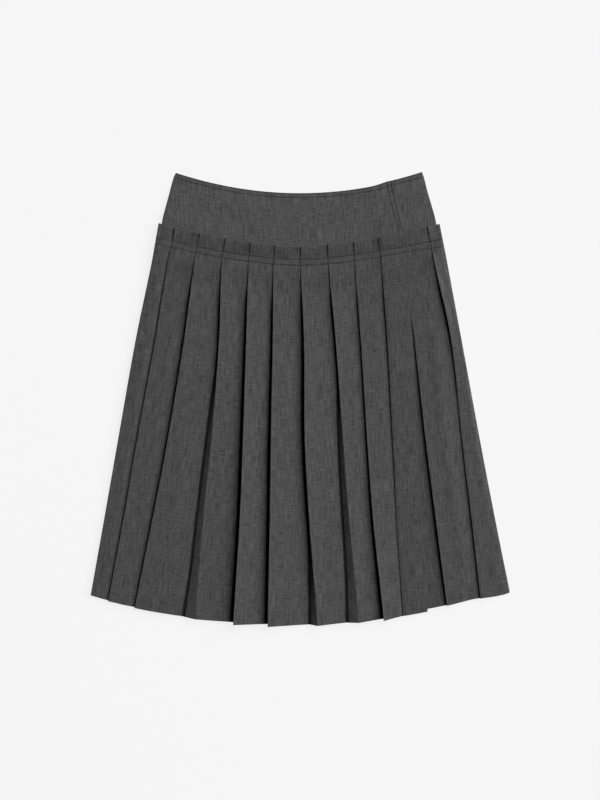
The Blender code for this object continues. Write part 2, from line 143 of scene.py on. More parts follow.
# How far the last face falls as it rolls over the right side
ROLL_LEVELS = (229.5, 205.0, 160.0, 118.0, 60.0, -60.0, -200.0, -337.5)
ROLL_FALLS = (0.5, 0.8, 2.8, 3.9, 3.9, 3.6, 2.2, 1.4)
ROLL_RUNS = (10.0, 12.0, 30.0, 40.0, 40.0, 26.0, 12.0, 10.0)

# The yoke from the waist edge to the edge that is sewn under the pleats
YOKE_LEVELS = (310.5, 304.0, 278.0, 252.0, 238.0, 196.0)
YOKE_RISES = (29.5, 29.7, 30.6, 32.0, 33.0, 33.6)
YOKE_LEFTS = (-186.6, -189.6, -196.4, -203.0, -206.3, -212.6)
YOKE_RIGHTS = (183.3, 185.8, 192.9, 199.9, 203.3, 210.6)
YOKE_BACKS = (0.5, 0.7, 2.0, 3.8, 4.4, 4.4)
YOKE_FRONTS = (2.2, 2.4, 3.6, 5.3, 5.9, 5.9)


class Facing(Enum):
    """Which way a run of pleats shows its outside."""

    FRONT = 1
    BACK = -1


class Hang(Enum):
    """How a piece of pleated cloth hangs at its hem."""

    OVERLAP = "overlap"
    UNDERLAP = "underlap"
    BACK = "back"


class Curve:
    """A smooth curve through values that are read at falling levels."""

    def __init__(
        self, levels: Sequence[float], values: Sequence[float], even: bool = True
    ) -> None:
        """Works out the slope at every level.

        Args:
            levels: where the values are read, highest first.
            values: the values.
            even: whether the curve keeps between neighbouring values; if not, it runs on
                straight beyond its ends.
        """
        self.levels, self.values, self.even = tuple(levels), tuple(values), even
        self.slopes = self._kept_slopes() if even else self._free_slopes()

    def _kept_slopes(self) -> list[float]:
        """Slopes with which the curve stays between neighbouring values."""
        steps = [
            (self.values[i + 1] - self.values[i]) / (self.levels[i + 1] - self.levels[i])
            for i in range(len(self.levels) - 1)
        ]
        slopes = [steps[0]]
        for before, after in zip(steps, steps[1:]):
            turns = before * after <= 0
            slopes.append(0.0 if turns else 2 * before * after / (before + after))
        return slopes + [steps[-1]]

    def _free_slopes(self) -> list[float]:
        """Slopes with which the curve swings freely through its values."""
        slopes = []
        for i in range(len(self.levels)):
            before, after = max(i - 1, 0), min(i + 1, len(self.levels) - 1)
            rise = self.values[after] - self.values[before]
            slopes.append(rise / (self.levels[after] - self.levels[before]))
        return slopes

    def at(self, level: float) -> float:
        """The curve's value at a level."""
        top, bottom = self.levels[0], self.levels[-1]
        if level >= top:
            return self.values[0] + (0.0 if self.even else self.slopes[0] * (level - top))
        if level <= bottom:
            run = 0.0 if self.even else self.slopes[-1] * (level - bottom)
            return self.values[-1] + run
        i = max(k for k in range(len(self.levels)) if self.levels[k] >= level)
        span = self.levels[i + 1] - self.levels[i]
        t = (level - self.levels[i]) / span
        start = (2 * t**3 - 3 * t**2 + 1) * self.values[i]
        start += (t**3 - 2 * t**2 + t) * span * self.slopes[i]
        end = (3 * t**2 - 2 * t**3) * self.values[i + 1]
        end += (t**3 - t**2) * span * self.slopes[i + 1]
        return start + end


def smooth_step(share: float) -> float:
    """A share from 0 to 1 with level ends."""
    t = min(max(share, 0.0), 1.0)
    return t * t * (3 - 2 * t)


def between(start: float, end: float, share: float) -> float:
    """The value at a share of the way from one value to another."""
    return start + (end - start) * share


def crease_line(places: Sequence[float]) -> Curve:
    """The line of a crease or an edge."""
    return Curve(LINE_LEVELS, places, even=False)


CREASES = {name: crease_line(places) for name, places in CREASE_PLACES.items()}
LEFT_SIDE = crease_line(LEFT_SIDE_PLACES)
RIGHT_SIDE = crease_line(RIGHT_SIDE_PLACES)
PLACKET_EDGE = crease_line(PLACKET_PLACES)
SEAT = Curve(ROW_LEVELS, SEATS)
RIDGE = Curve(ROW_LEVELS, RIDGES)
FLAP = Curve(ROW_LEVELS, FLAPS)
ROLL_FALL = Curve(ROLL_LEVELS, ROLL_FALLS)
ROLL_RUN = Curve(ROLL_LEVELS, ROLL_RUNS)
LIFT = {name: Curve(STATIONS, values) for name, values in LIFTS.items()}
DEPTH = {name: Curve(STATIONS, DEPTHS.get(name, USUAL_DEPTHS)) for name in CREASES}


@dataclass(frozen=True)
class Fan:
    """How the pleated cloth spreads from its frill to its hem."""

    # How much higher a row lies at its sides than in the middle, and how sharply it bends up
    frill_rise: float = 32.0
    hem_rise_left: float = 45.3
    hem_rise_right: float = 51.5
    frill_bend: float = 1.6
    hem_bend_left: float = 2.2
    hem_bend_right: float = 1.9
    frill_flare: float = 3.0  # how much higher still the frill's raw edge lies there
    # How much lower the stitches lie on the underlap, and where
    underlap_dip: float = 3.0
    dip_start: float = 160.0
    dip_width: float = 50.0
    dip_reach: float = 15.0
    # How far a crease stands off where the stitching holds it, and more at the frill's raw edge
    stitched_lift: float = 0.3
    frill_spring: float = 2.6
    sprung_creases: str = "abcdefghik"  # the one left out lies under the placket
    # The levels between which the pleats come to hang free of the stitching
    held_level: float = 190.0
    free_level: float = 120.0
    # How much the rows of stitching squeeze the layers together, and how far from them
    press_share: float = 0.5
    press_width: float = 4.0
    back_pleats: int = 11
    # How far inside the sides the back's first and last creases lie
    back_start_top: float = 21.0
    back_start_hem: float = 16.0
    back_end_top: float = 30.0
    back_end_hem: float = 40.0
    # The run over which the back climbs from the floor to the crease at the left side
    left_rise_top: float = 3.0
    left_rise_hem: float = 22.0
    left_rise_level: float = 200.0
    left_rise_run: float = 80.0
    side_settle: float = 1.2  # how much lower the side folds lie at the hem
    crossing_rounds: int = 12  # how often a crossing is worked out anew

    def share(self, level: float) -> float:
        """0 at the frill's top edge and 1 at the hem."""
        return (FRILL_TOP - level) / (FRILL_TOP - HEM)

    def frill_share(self, level: float) -> float:
        """0 up to the upper row of stitching and 1 at the frill's raw edge."""
        return smooth_step((level - UPPER_STITCHES) / (FRILL_TOP - UPPER_STITCHES))

    def freedom(self, level: float) -> float:
        """0 where the stitching holds the pleats flat and 1 where they hang free."""
        return smooth_step((self.held_level - level) / (self.held_level - self.free_level))

    def squeeze(self, level: float) -> float:
        """How much the two rows of stitching squeeze the layers together at a level."""
        beyond = max(0.0, level - UPPER_STITCHES, LOWER_STITCHES - level)
        return self.press_share * math.exp(-((beyond / self.press_width) ** 2))

    def height(self, level: float, x: float) -> float:
        """The height of a row of the pleated cloth, which curves up towards the sides.

        Args:
            level: the row's height at the middle of the skirt.
            x: the place across the skirt.

        Returns:
            The height there.
        """
        share = self.share(level)
        hem_rise = self.hem_rise_left if x < 0 else self.hem_rise_right
        hem_bend = self.hem_bend_left if x < 0 else self.hem_bend_right
        rise = between(self.frill_rise, hem_rise, share)
        bend = between(self.frill_bend, hem_bend, share)
        aside = abs(x / RIGHT_SIDE.at(level + self.frill_rise))
        flare = self.frill_flare * self.frill_share(level)
        dip = self.underlap_dip * smooth_step((x - self.dip_start) / self.dip_width)
        dip *= math.exp(-(((level - LOWER_STITCHES) / self.dip_reach) ** 2))
        return level + rise * aside**bend + flare * aside**2 - dip

    def crossing(self, level: float, line: Curve) -> float:
        """Where a line crosses a row.

        Args:
            level: the row's level.
            line: a crease or an edge.

        Returns:
            The place across the skirt.
        """
        x = line.at(level)
        for _ in range(self.crossing_rounds):
            x = line.at(self.height(level, x))
        return x

    def side_height(self, level: float) -> float:
        """The height of the front's face where it comes to a side fold."""
        return SEAT.at(level) + SOLID_STACK - self.side_settle * self.share(level)

    def lift(self, name: str, level: float) -> float:
        """How far a crease stands off the cloth under it.

        Args:
            name: the crease's letter.
            level: the row's level.

        Returns:
            The lift, with what the thinner shown cloth leaves.
        """
        thin = between(self.stitched_lift, SOLID_STACK - STACK, self.freedom(level))
        spring = self.frill_share(level) if name in self.sprung_creases else 0.0
        return LIFT[name].at(level) + thin + self.frill_spring * spring

    def back_creases(self, level: float) -> list[float]:
        """Where the back's creases lie, even across the width, counted from the right side.

        Args:
            level: the row's level.

        Returns:
            Their places across the skirt.
        """
        share = self.share(level)
        start_inset = between(self.back_start_top, self.back_start_hem, share)
        end_inset = between(self.back_end_top, self.back_end_hem, share)
        start = self.crossing(level, RIGHT_SIDE) - start_inset
        end = self.crossing(level, LEFT_SIDE) + end_inset
        step = (end - start) / (self.back_pleats - 1)
        return [start + step * i for i in range(self.back_pleats)]

    def left_rise(self, level: float) -> float:
        """The run over which the back climbs from the floor to the crease at the left side."""
        share = smooth_step((self.left_rise_level - level) / self.left_rise_run)
        return between(self.left_rise_top, self.left_rise_hem, share)


FAN = Fan()


class Rod(NamedTuple):
    """A rod that the cloth turns round, or a point that it passes through if it has no radius."""

    x: float
    z: float
    radius: float = 0.0
    turns: int = 1
    panel: int = 0
    # whether the cloth here is darkened as painted shade in a slit or valley
    deep: bool = False


class Point(NamedTuple):
    """A point of the cloth's middle surface in one row."""

    x: float
    z: float
    normal_x: float
    normal_z: float
    panel: int
    crease: bool
    # whether the cloth here is darkened as painted shade in a slit or valley
    deep: bool


PathOf = Callable[[float], list[Rod]]
StitchLine = Callable[[float], "Vector | None"]
WHOLE_TURN = 1.9 * math.pi  # a swing above it is none at all, but for rounding


def belt(path: Sequence[Rod]) -> list[Point]:
    """The middle line of cloth that runs along a path of rods, like a belt round pulleys.

    Args:
        path: the rods in order. The cloth passes over a rod whose radius is below 0.

    Returns:
        A point for every turn of every rod.
    """
    angles = []
    for first, second in zip(path, path[1:]):
        across, up = second.x - first.x, second.z - first.z
        turn = (second.radius - first.radius) / math.hypot(across, up)
        angles.append(math.atan2(up, across) - math.asin(max(-1.0, min(1.0, turn))))
    points = []
    for i, rod in enumerate(path):
        meets, leaves = angles[max(i - 1, 0)], angles[min(i, len(angles) - 1)]
        swing = leaves - meets
        if rod.radius == 0:
            swing = math.remainder(swing, 2 * math.pi)
        else:
            sense = math.copysign(1.0, rod.radius)
            swing = sense * ((sense * swing) % (2 * math.pi))
            if abs(swing) > WHOLE_TURN:
                swing = 0.0
        for turn in range(rod.turns):
            share = turn / (rod.turns - 1) if rod.turns > 1 else 0.5
            angle = meets + swing * share
            normal_x, normal_z = -math.sin(angle), math.cos(angle)
            panel = rod.panel - (1 if rod.radius > 0 and share <= 0.5 else 0)
            crease = rod.radius < 0 and share == 0.5
            x, z = rod.x - rod.radius * normal_x, rod.z - rod.radius * normal_z
            points.append(Point(x, z, normal_x, normal_z, panel, crease, rod.deep))
    return points


class Swell(NamedTuple):
    """A soft ridge, or a trough if its height is below 0, along a straight line on the cloth."""

    start_x: float
    start_y: float
    end_x: float
    end_y: float
    width: float
    height: float
    end_run: float = 1.5  # over how many widths it dies out beyond its ends

    def at(self, x: float, y: float) -> float:
        """How much the cloth is raised at a place."""
        run_x, run_y = self.end_x - self.start_x, self.end_y - self.start_y
        length = math.hypot(run_x, run_y)
        along = ((x - self.start_x) * run_x + (y - self.start_y) * run_y) / length**2
        aside = ((x - self.start_x) * run_y - (y - self.start_y) * run_x) / length
        beyond = max(0.0, -along, along - 1) * length / self.width
        return self.height * math.exp(-((aside / self.width) ** 2) - (beyond / self.end_run) ** 2)


# Soft ridges and troughs of the faces and of the yoke
FRONT_SWELLS = (
    Swell(203.0, 90.0, 213.0, -20.0, 8.0, 1.5),
    Swell(214.0, -30.0, 245.0, -240.0, 9.0, 1.4),
    Swell(-54.0, 130.0, -60.0, 20.0, 7.0, 0.5),
    Swell(-66.0, -40.0, -60.0, -210.0, 9.0, -0.6),
    Swell(-24.0, 60.0, -16.0, -120.0, 7.0, 0.5),
    Swell(30.0, 110.0, 34.0, -30.0, 8.0, -0.4),
    Swell(42.0, -60.0, 56.0, -250.0, 9.0, 0.7),
    Swell(76.0, 60.0, 88.0, -90.0, 7.0, 0.5),
    Swell(96.0, -120.0, 101.0, -270.0, 8.0, -0.5),
    Swell(-102.0, 90.0, -108.0, -50.0, 8.0, 0.5),
    Swell(-118.0, -90.0, -126.0, -260.0, 10.0, 0.6),
    Swell(-150.0, 100.0, -160.0, -10.0, 9.0, -0.4),
    Swell(-176.0, -60.0, -196.0, -240.0, 10.0, 0.6),
    Swell(-196.0, 90.0, -214.0, -60.0, 8.0, 0.4),
    Swell(-240.0, -120.0, -256.0, -270.0, 9.0, -0.4),
)
BACK_SWELLS = (
    Swell(150.0, 120.0, 162.0, -60.0, 14.0, 0.4),
    Swell(60.0, 60.0, 72.0, -200.0, 16.0, 0.5),
    Swell(-20.0, 140.0, -24.0, -40.0, 14.0, 0.4),
    Swell(-110.0, 20.0, -128.0, -230.0, 16.0, 0.5),
    Swell(-190.0, 80.0, -206.0, -120.0, 12.0, 0.4),
)
YOKE_SWELLS = (
    Swell(-160.0, 306.0, 20.0, 270.0, 13.0, 0.5),
    Swell(-90.0, 252.0, 110.0, 246.0, 11.0, -0.4),
    Swell(-190.0, 268.0, -120.0, 246.0, 9.0, 0.4),
    Swell(10.0, 296.0, 110.0, 282.0, 9.0, 0.4),
    Swell(-60.0, 282.0, -40.0, 240.0, 8.0, -0.3),
    Swell(158.0, 306.0, 186.0, 250.0, 8.0, 0.5),
)


def raised(swells: Sequence[Swell], x: float, y: float) -> float:
    """How much all the swells raise the cloth at a place."""
    return sum(swell.at(x, y) for swell in swells)


@dataclass(frozen=True)
class Face:
    """How the face of a pleat lies between its own crease and the next one."""

    steps: int = 14
    shoulder: float = 0.2  # the share of the face that at least stays up on the pleat's fold
    fall: float = 1.5  # how fast the crease's lift dies out along the face
    foot: float = 2.0  # how far before its inner fold the face comes down
    opening_run: float = 8.0  # the depth over which an open pleat becomes a closed one
    # The painted shade under the next crease: its width for each millimetre by which the crease
    # stands off beyond a free lift, its least and its most width, and its least in an open pleat
    slit_share: float = 0.6
    slit_free: float = 1.4
    slit_least: float = 0.25
    slit_most: float = 5.0
    valley: float = 3.0

    def slit(self, lift: float) -> float:
        """How wide the strip of painted shade is under a crease that stands off by a lift."""
        width = self.slit_share * (lift - self.slit_free)
        return min(max(width, self.slit_least), self.slit_most)


FACE = Face()


@dataclass
class PleatRun:
    """A run of pleats in one row, seen from its own side of the skirt.

    along grows in the direction of the run, and out is the height above the lowest layer, towards
    the outside of the skirt.
    """

    facing: Facing
    level: float
    seat: float
    panel: int = 0
    path: list[Rod] = field(default_factory=list)
    outer_turns: int = 5
    inner_turns: int = 4
    # Where a face on the floor lies flat, where it may swell, and its climb over the next fold
    flat_shares: tuple[float, ...] = (0.2, 0.4, 0.65)
    loose_shares: tuple[float, ...] = (0.7, 0.75)
    climb: float = 7.0

    @property
    def sign(self) -> int:
        """1 where the outside is up and the run goes right, and -1 where both are reversed."""
        return self.facing.value

    def rod(
        self, along: float, out: float, radius: float, turns: int, deep: bool = False
    ) -> None:
        """Adds a rod that the cloth turns round, which may get the painted shade of a slit or
        valley.
        """
        z = self.seat + self.sign * out
        self.path.append(Rod(self.sign * along, z, radius, turns, self.panel, deep))

    def point(self, along: float, out: float, deep: bool = False) -> None:
        """Adds a point that the cloth passes through."""
        self.rod(along, out, 0.0, 1, deep)

    def outer_fold(self, along: float, lift: float) -> None:
        """A crease whose edge lies at this place."""
        centre = along + WOOL / 2 + FOLD_RADIUS
        self.rod(centre, 3 * FOLD_RADIUS + lift, -FOLD_RADIUS, self.outer_turns)

    def inner_fold(self, along: float, ridge: float) -> None:
        """The hidden fold at the bottom of a pleat, where the next panel of cloth starts."""
        self.panel += 1
        # on the front, the cloth round the hidden fold is darkened as painted shade
        deep = self.facing is Facing.FRONT
        self.rod(along - FOLD_RADIUS, FOLD_RADIUS + ridge, FOLD_RADIUS, self.inner_turns, deep)

    def face(
        self,
        crease: float,
        depth: float,
        lift: float,
        next_crease: float,
        next_lift: float,
        end: float,
        foot: float,
    ) -> None:
        """A pleat's face, from its crease over its own fold and down under the next crease.

        Args:
            crease: where the face starts.
            depth: how far the pleat's own hidden fold reaches under it, if at all.
            lift: how far the crease stands off that fold.
            next_crease: where the next crease covers the face.
            next_lift: how far the next crease stands off it.
            end: where the face meets its inner fold.
            foot: the height of the face at the next crease.
        """
        last = min(next_crease, end - FACE.foot)
        reach = crease + max(depth, FACE.shoulder * (next_crease - crease))
        closed = smooth_step(depth / FACE.opening_run)
        next_closed = smooth_step((end - next_crease) / FACE.opening_run)
        first = crease + 2 * WOOL + 2 * FOLD_RADIUS
        slit = FACE.slit(next_lift)
        slit = between(max(FACE.valley, slit), slit, next_closed)
        # where the painted shade under the next crease starts
        dark = min(min(next_crease, end) - slit, last - FACE.slit_least)
        for step in range(FACE.steps):
            share = min(step / (FACE.steps - 2), 1.0)
            along = between(first, dark, share) if step < FACE.steps - 1 else last
            fall = max(0.0, 1 - (along - crease) / (last - crease)) ** FACE.fall
            rest = 1 - smooth_step((along - reach) / (last - reach))
            support = foot + (STACK - foot) * between(fall, rest, closed)
            out = support + lift * fall + HAIR * closed * rest
            height = FAN.height(self.level, self.sign * along)
            swell = raised(FRONT_SWELLS, self.sign * along, height)
            slack = 4 * share * (1 - share)
            out = max(out + swell * slack, support * closed + HAIR * rest)
            self.point(along, out, step >= FACE.steps - 2)
        self.point((last + end) / 2, foot / 2, True)

    def climb_to(self, crease: float) -> None:
        """Leads a face on the floor over the next pleat's fold, to that pleat's crease."""
        self.point(crease - self.climb, STACK)
        self.point(crease - self.climb / 2, STACK / 2)
        self.point(crease - WOOL / 2, 0.0)

    def resting_face(self, crease: float, next_crease: float) -> None:
        """A face that lies flat on the floor, then climbs over the next pleat's fold."""
        for share in self.flat_shares:
            self.point(between(crease, next_crease, share), STACK)
        for share in self.loose_shares:
            along = between(crease, next_crease, share)
            height = FAN.height(self.level, self.sign * along)
            self.point(along, STACK - raised(BACK_SWELLS, self.sign * along, height))
        self.climb_to(next_crease)


@dataclass(frozen=True)
class Pleats:
    """The three pieces of pleated cloth, as a path for every row."""

    depth: float = 24.0  # how far a closed pleat's fold runs under its crease
    least_depth: float = 6.0  # what a fold beside a side of the skirt keeps of it
    tuck_share: float = 0.8  # of a crease's lift, how high the face under it lies where it is held
    wall_share: float = 0.14  # of a pleat's wall, how much is painted shade beside its inner fold
    fold_shares: tuple[float, ...] = (0.3, 0.6)  # where a face is held up by its own fold
    # The soft fold at the right side
    roll_clearance: float = 2.5
    roll_bend: float = 1.3
    roll_turns: int = 10
    # The crisp crease at the left side, and how the face beside it comes down to the first
    # crease: how far before the crease, and at which share of its height
    rise_shares: tuple[float, ...] = (0.0, 0.33, 0.66)
    rise_bend: float = 1.3
    side_turns: int = 6
    side_lip: float = 2.5
    side_tuck: tuple[tuple[float, float], ...] = ((13.5, 1.0), (9.0, 0.97), (4.05, 0.48))
    # The underlap's hidden edge, clear of the overlap's last inner fold
    hidden_clearance: float = 2.5
    hidden_edge: float = 154.0

    def front(self, level: float) -> list[Rod]:
        """The overlapping front: from the seam under the first crease to the placket's edge.

        Args:
            level: the row's level.

        Returns:
            The row's path.
        """
        run = PleatRun(Facing.FRONT, level, SEAT.at(level))
        creases = [FAN.crossing(level, CREASES[name]) for name in FRONT_CREASES]
        lifts = [FAN.lift(name, level) for name in FRONT_CREASES]
        depths = [DEPTH[name].at(level) for name in FRONT_CREASES]
        last = len(creases) - 1
        ridges = [0.0] * last + [RIDGE.at(level)]
        tuck = self.tuck_share * (1 - FAN.freedom(level))
        run.point(creases[0] + depths[0], LAYER)
        for i, crease in enumerate(creases):
            if i > 0:
                inner = crease + depths[i]
                run.inner_fold(inner, ridges[i])
                wall = LAYER + ridges[i] + self.wall_share * lifts[i]
                run.point(between(inner, crease, self.wall_share), wall, True)
            run.outer_fold(crease, ridges[i] + lifts[i])
            if i < last:
                end = creases[i + 1] + depths[i + 1]
                foot = ridges[i + 1] + tuck * lifts[i + 1]
                run.face(crease, depths[i], lifts[i], creases[i + 1], lifts[i + 1], end, foot)
        self.placket(run, creases[-1], depths[-1], lifts[-1])
        return run.path

    def placket(self, run: PleatRun, crease: float, depth: float, lift: float) -> None:
        """The last face of the front, which lies flat as far as its free edge.

        Args:
            run: the run that it ends.
            crease: where the face starts.
            depth: how far the pleat's own hidden fold reaches under it.
            lift: how far the crease stands off that fold.
        """
        free_edge = FAN.crossing(run.level, PLACKET_EDGE)
        flap, ridge = FLAP.at(run.level), RIDGE.at(run.level)
        reach, top = crease + depth, STACK + ridge + lift
        fall = (flap - top) * depth / (free_edge - crease)
        first_out = max(top + fall, STACK + ridge) + HAIR
        for share in self.fold_shares:
            run.point(between(crease, reach, share), between(top + HAIR, first_out, share))
        for share in QUARTERS:
            place = between(reach, free_edge - EDGE_LIP, share)
            run.point(place, between(first_out, flap, share))
        run.point(free_edge, flap)

    def right_side(self, level: float, reach: float, panel: int) -> list[Rod]:
        """The soft fold at the right side, from where the last pleat's hidden fold ends.

        Args:
            level: the row's level.
            reach: where that hidden fold ends.
            panel: the number of the panel that turns here.

        Returns:
            The rods of the fold.
        """
        edge = FAN.crossing(level, RIGHT_SIDE)
        top, fall = SEAT.at(level) + STACK, ROLL_FALL.at(level)
        radius = (top - fall - BACK_FACE) / 2
        turn = edge - WOOL / 2 - radius
        roll = max(edge - ROLL_RUN.at(level), reach)
        path = []
        for share in QUARTERS[:-1]:
            z = top + HAIR - fall * share**self.roll_bend
            path.append(Rod(between(roll, turn, share), z, panel=panel))
        return path + [Rod(turn, BACK_FACE + radius, -radius, self.roll_turns, panel)]

    def left_side(self, level: float, panel: int) -> list[Rod]:
        """The crisp crease at the left side, from where the back leaves the floor.

        Args:
            level: the row's level.
            panel: the number of the panel that turns here.

        Returns:
            The rods of the crease.
        """
        edge = FAN.crossing(level, LEFT_SIDE)
        top = FAN.side_height(level)
        turn = edge + WOOL / 2 + FOLD_RADIUS
        path = []
        for share in self.rise_shares:
            climb = (top - 2 * FOLD_RADIUS - BACK_FACE) * share**self.rise_bend
            x = between(edge + FAN.left_rise(level), turn, share)
            path.append(Rod(x, BACK_FACE + climb, panel=panel))
        return path + [Rod(turn, top - FOLD_RADIUS, -FOLD_RADIUS, self.side_turns, panel)]

    def underlap(self, level: float) -> list[Rod]:
        """The underlap: from its hidden edge, round the right side, to the seam in the back.

        Args:
            level: the row's level.

        Returns:
            The row's path.
        """
        run = PleatRun(Facing.FRONT, level, SEAT.at(level))
        inner = FAN.crossing(level, CREASES["i"]) + DEPTH["i"].at(level)
        hidden = max(inner + self.hidden_clearance, self.hidden_edge)
        first, last = [FAN.crossing(level, CREASES[name]) for name in UNDERLAP_CREASES]
        first_lift, last_lift = [FAN.lift(name, level) for name in UNDERLAP_CREASES]
        first_depth, last_depth = [DEPTH[name].at(level) for name in UNDERLAP_CREASES]
        run.point(hidden, 0.0)
        run.point(hidden + EDGE_LIP, 0.0)
        # the strip under the first crease is darkened as painted shade
        run.point(first - FACE.slit(first_lift), 0.0, True)
        run.point(first, 0.0, True)
        run.inner_fold(first + first_depth, 0.0)
        run.outer_fold(first, first_lift)
        end = last + last_depth
        foot = self.tuck_share * (1 - FAN.freedom(level)) * last_lift
        run.face(first, first_depth, first_lift, last, last_lift, end, foot)
        run.inner_fold(end, 0.0)
        run.outer_fold(last, last_lift)
        reach = last + max(last_depth, self.least_depth)
        for share in (*self.fold_shares, 1.0):
            fall = (1 - share) ** FACE.fall
            run.point(between(last, reach, share), STACK + HAIR + last_lift * fall)
        path = run.path + self.right_side(level, reach + self.roll_clearance, run.panel)
        seam = -FAN.back_creases(level)[0]
        back = PleatRun(Facing.BACK, level, BACK_SEAT, run.panel)
        back.climb_to(seam)
        back.point(seam + self.depth, 0.0)
        return path + back.path

    def back(self, level: float) -> list[Rod]:
        """The back: from its seam, across the floor, round the left side, to the front's seam.

        Args:
            level: the row's level.

        Returns:
            The row's path.
        """
        run = PleatRun(Facing.BACK, level, BACK_SEAT)
        creases = [-x for x in FAN.back_creases(level)]
        left = FAN.crossing(level, LEFT_SIDE)
        spare = -left - creases[-1] - FAN.left_rise(level)
        depths = [self.depth] * (len(creases) - 1)
        depths.append(max(self.least_depth, min(self.depth, spare)))
        run.point(creases[0] + self.depth, LAYER)
        for i, crease in enumerate(creases):
            if i > 0:
                run.inner_fold(crease + depths[i], 0.0)
            run.outer_fold(crease, 0.0)
            if i + 1 < len(creases):
                run.resting_face(crease, creases[i + 1])
        path = run.path + self.left_side(level, run.panel)
        front = PleatRun(Facing.FRONT, level, SEAT.at(level), run.panel)
        seam = FAN.crossing(level, CREASES["a"])
        side = FAN.side_height(level) - front.seat
        front.point(left + self.side_lip, side)
        for before, share in self.side_tuck:
            front.point(seam - before, side * share)
        front.point(seam - WOOL / 2, 0.0)
        front.point(seam + DEPTH["a"].at(level), 0.0)
        return path + front.path


PLEATS = Pleats()


@dataclass(frozen=True)
class Yoke:
    """The smooth band at the waist, as a path for every row."""

    rise: Curve = Curve(YOKE_LEVELS, YOKE_RISES)
    left: Curve = Curve(YOKE_LEVELS, YOKE_LEFTS)
    right: Curve = Curve(YOKE_LEVELS, YOKE_RIGHTS)
    back_face: Curve = Curve(YOKE_LEVELS, YOKE_BACKS)
    front_face: Curve = Curve(YOKE_LEVELS, YOKE_FRONTS)
    waist: float = YOKE_LEVELS[0]
    frill: float = YOKE_LEVELS[-2]
    # Where the overlap's free edge lies at the waist and at the frill
    free_edge_waist: float = 135.0
    free_edge_frill: float = 152.4
    lap: float = 20.0  # how far the underlap runs under the overlap
    step: float = 25.0  # the run over which the overlap climbs onto the underlap
    segments: int = 60
    seam_gap: float = 0.3
    seam_turns: int = 4
    # How much higher the waist edge stands from the overlap to the right side, and where
    hitch: float = 2.4
    hitch_start: float = 108.0
    hitch_width: float = 26.0
    hitch_foot: float = 285.0

    @property
    def slant(self) -> float:
        """How far the free edge moves aside for each millimetre that it comes down."""
        return (self.free_edge_frill - self.free_edge_waist) / (self.waist - self.frill)

    def height(self, level: float, x: float) -> float:
        """The height of a row of the yoke, which curves up towards the sides.

        Args:
            level: the row's height at the middle of the skirt.
            x: the place across the skirt.

        Returns:
            The height there.
        """
        hitch = self.hitch * smooth_step((x - self.hitch_start) / self.hitch_width)
        hitch *= smooth_step((level - self.hitch_foot) / (self.waist - self.hitch_foot))
        return level + self.rise.at(level) * (x / self.right.at(level)) ** 2 + hitch

    def free_edge(self, level: float) -> float:
        """Where the overlap ends: slanted with the flare, and straight under the frill."""
        share = min((self.waist - level) / (self.waist - self.frill), 1.0)
        return between(self.free_edge_waist, self.free_edge_frill, share)

    def side(self, level: float, sign: int, facing: Facing) -> tuple[Rod, Rod]:
        """The half of a side fold that belongs to the front or to the back.

        Args:
            level: the row's level.
            sign: 1 for the right side and -1 for the left one.
            facing: whether it is the front's half or the back's.

        Returns:
            The end of the cloth at the seam, and the fold beside it.
        """
        edge = (self.right if sign > 0 else self.left).at(level) - sign * SOLID_CLOTH / 2
        back, front = self.back_face.at(level), self.front_face.at(level)
        middle, way = (back + front) / 2, facing.value
        radius = (front - back) / 2 - self.seam_gap / 2 - HAIR
        end = Rod(edge, middle + way * self.seam_gap / 2)
        height = middle + way * (self.seam_gap / 2 + HAIR)
        return end, Rod(edge - sign * radius, height, -radius, self.seam_turns)

    def flat(self, level: float, start: float, end: float, count: int) -> list[Rod]:
        """The smooth stretch of the front between two places, without them.

        Args:
            level: the row's level.
            start: the place before its first point.
            end: the place after its last one.
            count: how many points it has.

        Returns:
            Its points, raised by the swells.
        """
        path = []
        for i in range(count):
            x = between(start, end, (i + 1) / (count + 1))
            swell = raised(YOKE_SWELLS, x, self.height(level, x))
            path.append(Rod(x, self.front_face.at(level) + swell))
        return path

    def overlap(self, level: float) -> list[Rod]:
        """The front: from the left side seam to the free edge over the underlap.

        Args:
            level: the row's level.

        Returns:
            The row's path.
        """
        end, fold = self.side(level, -1, Facing.FRONT)
        free_edge, height = self.free_edge(level), self.front_face.at(level)
        lap = free_edge - self.lap
        path = [end, fold] + self.flat(level, fold.x, lap - self.step, self.segments)
        for share in QUARTERS:
            x = between(lap - self.step, lap - SOLID_CLOTH / 2, share)
            path.append(Rod(x, height + SOLID_LAYER * smooth_step(share)))
        for share in QUARTERS[1:]:
            path.append(Rod(between(lap, free_edge - EDGE_LIP, share), height + SOLID_LAYER))
        return path + [Rod(free_edge, height + SOLID_LAYER)]

    def underlap(self, level: float) -> list[Rod]:
        """The underlap: from its hidden edge to the right side seam.

        Args:
            level: the row's level.

        Returns:
            The row's path.
        """
        end, fold = self.side(level, 1, Facing.FRONT)
        hidden = self.free_edge(level) - self.lap
        flat = self.flat(level, hidden, fold.x, self.segments // 3)
        return [Rod(hidden, self.front_face.at(level))] + flat + [fold, end]

    def back(self, level: float) -> list[Rod]:
        """The back: from the right side seam to the left one.

        Args:
            level: the row's level.

        Returns:
            The row's path.
        """
        right_end, right_fold = self.side(level, 1, Facing.BACK)
        left_end, left_fold = self.side(level, -1, Facing.BACK)
        flat = []
        for i in range(self.segments):
            x = between(right_fold.x, left_fold.x, (i + 1) / (self.segments + 1))
            flat.append(Rod(x, self.back_face.at(level)))
        return [right_end, right_fold] + flat + [left_fold, left_end]


YOKE = Yoke()


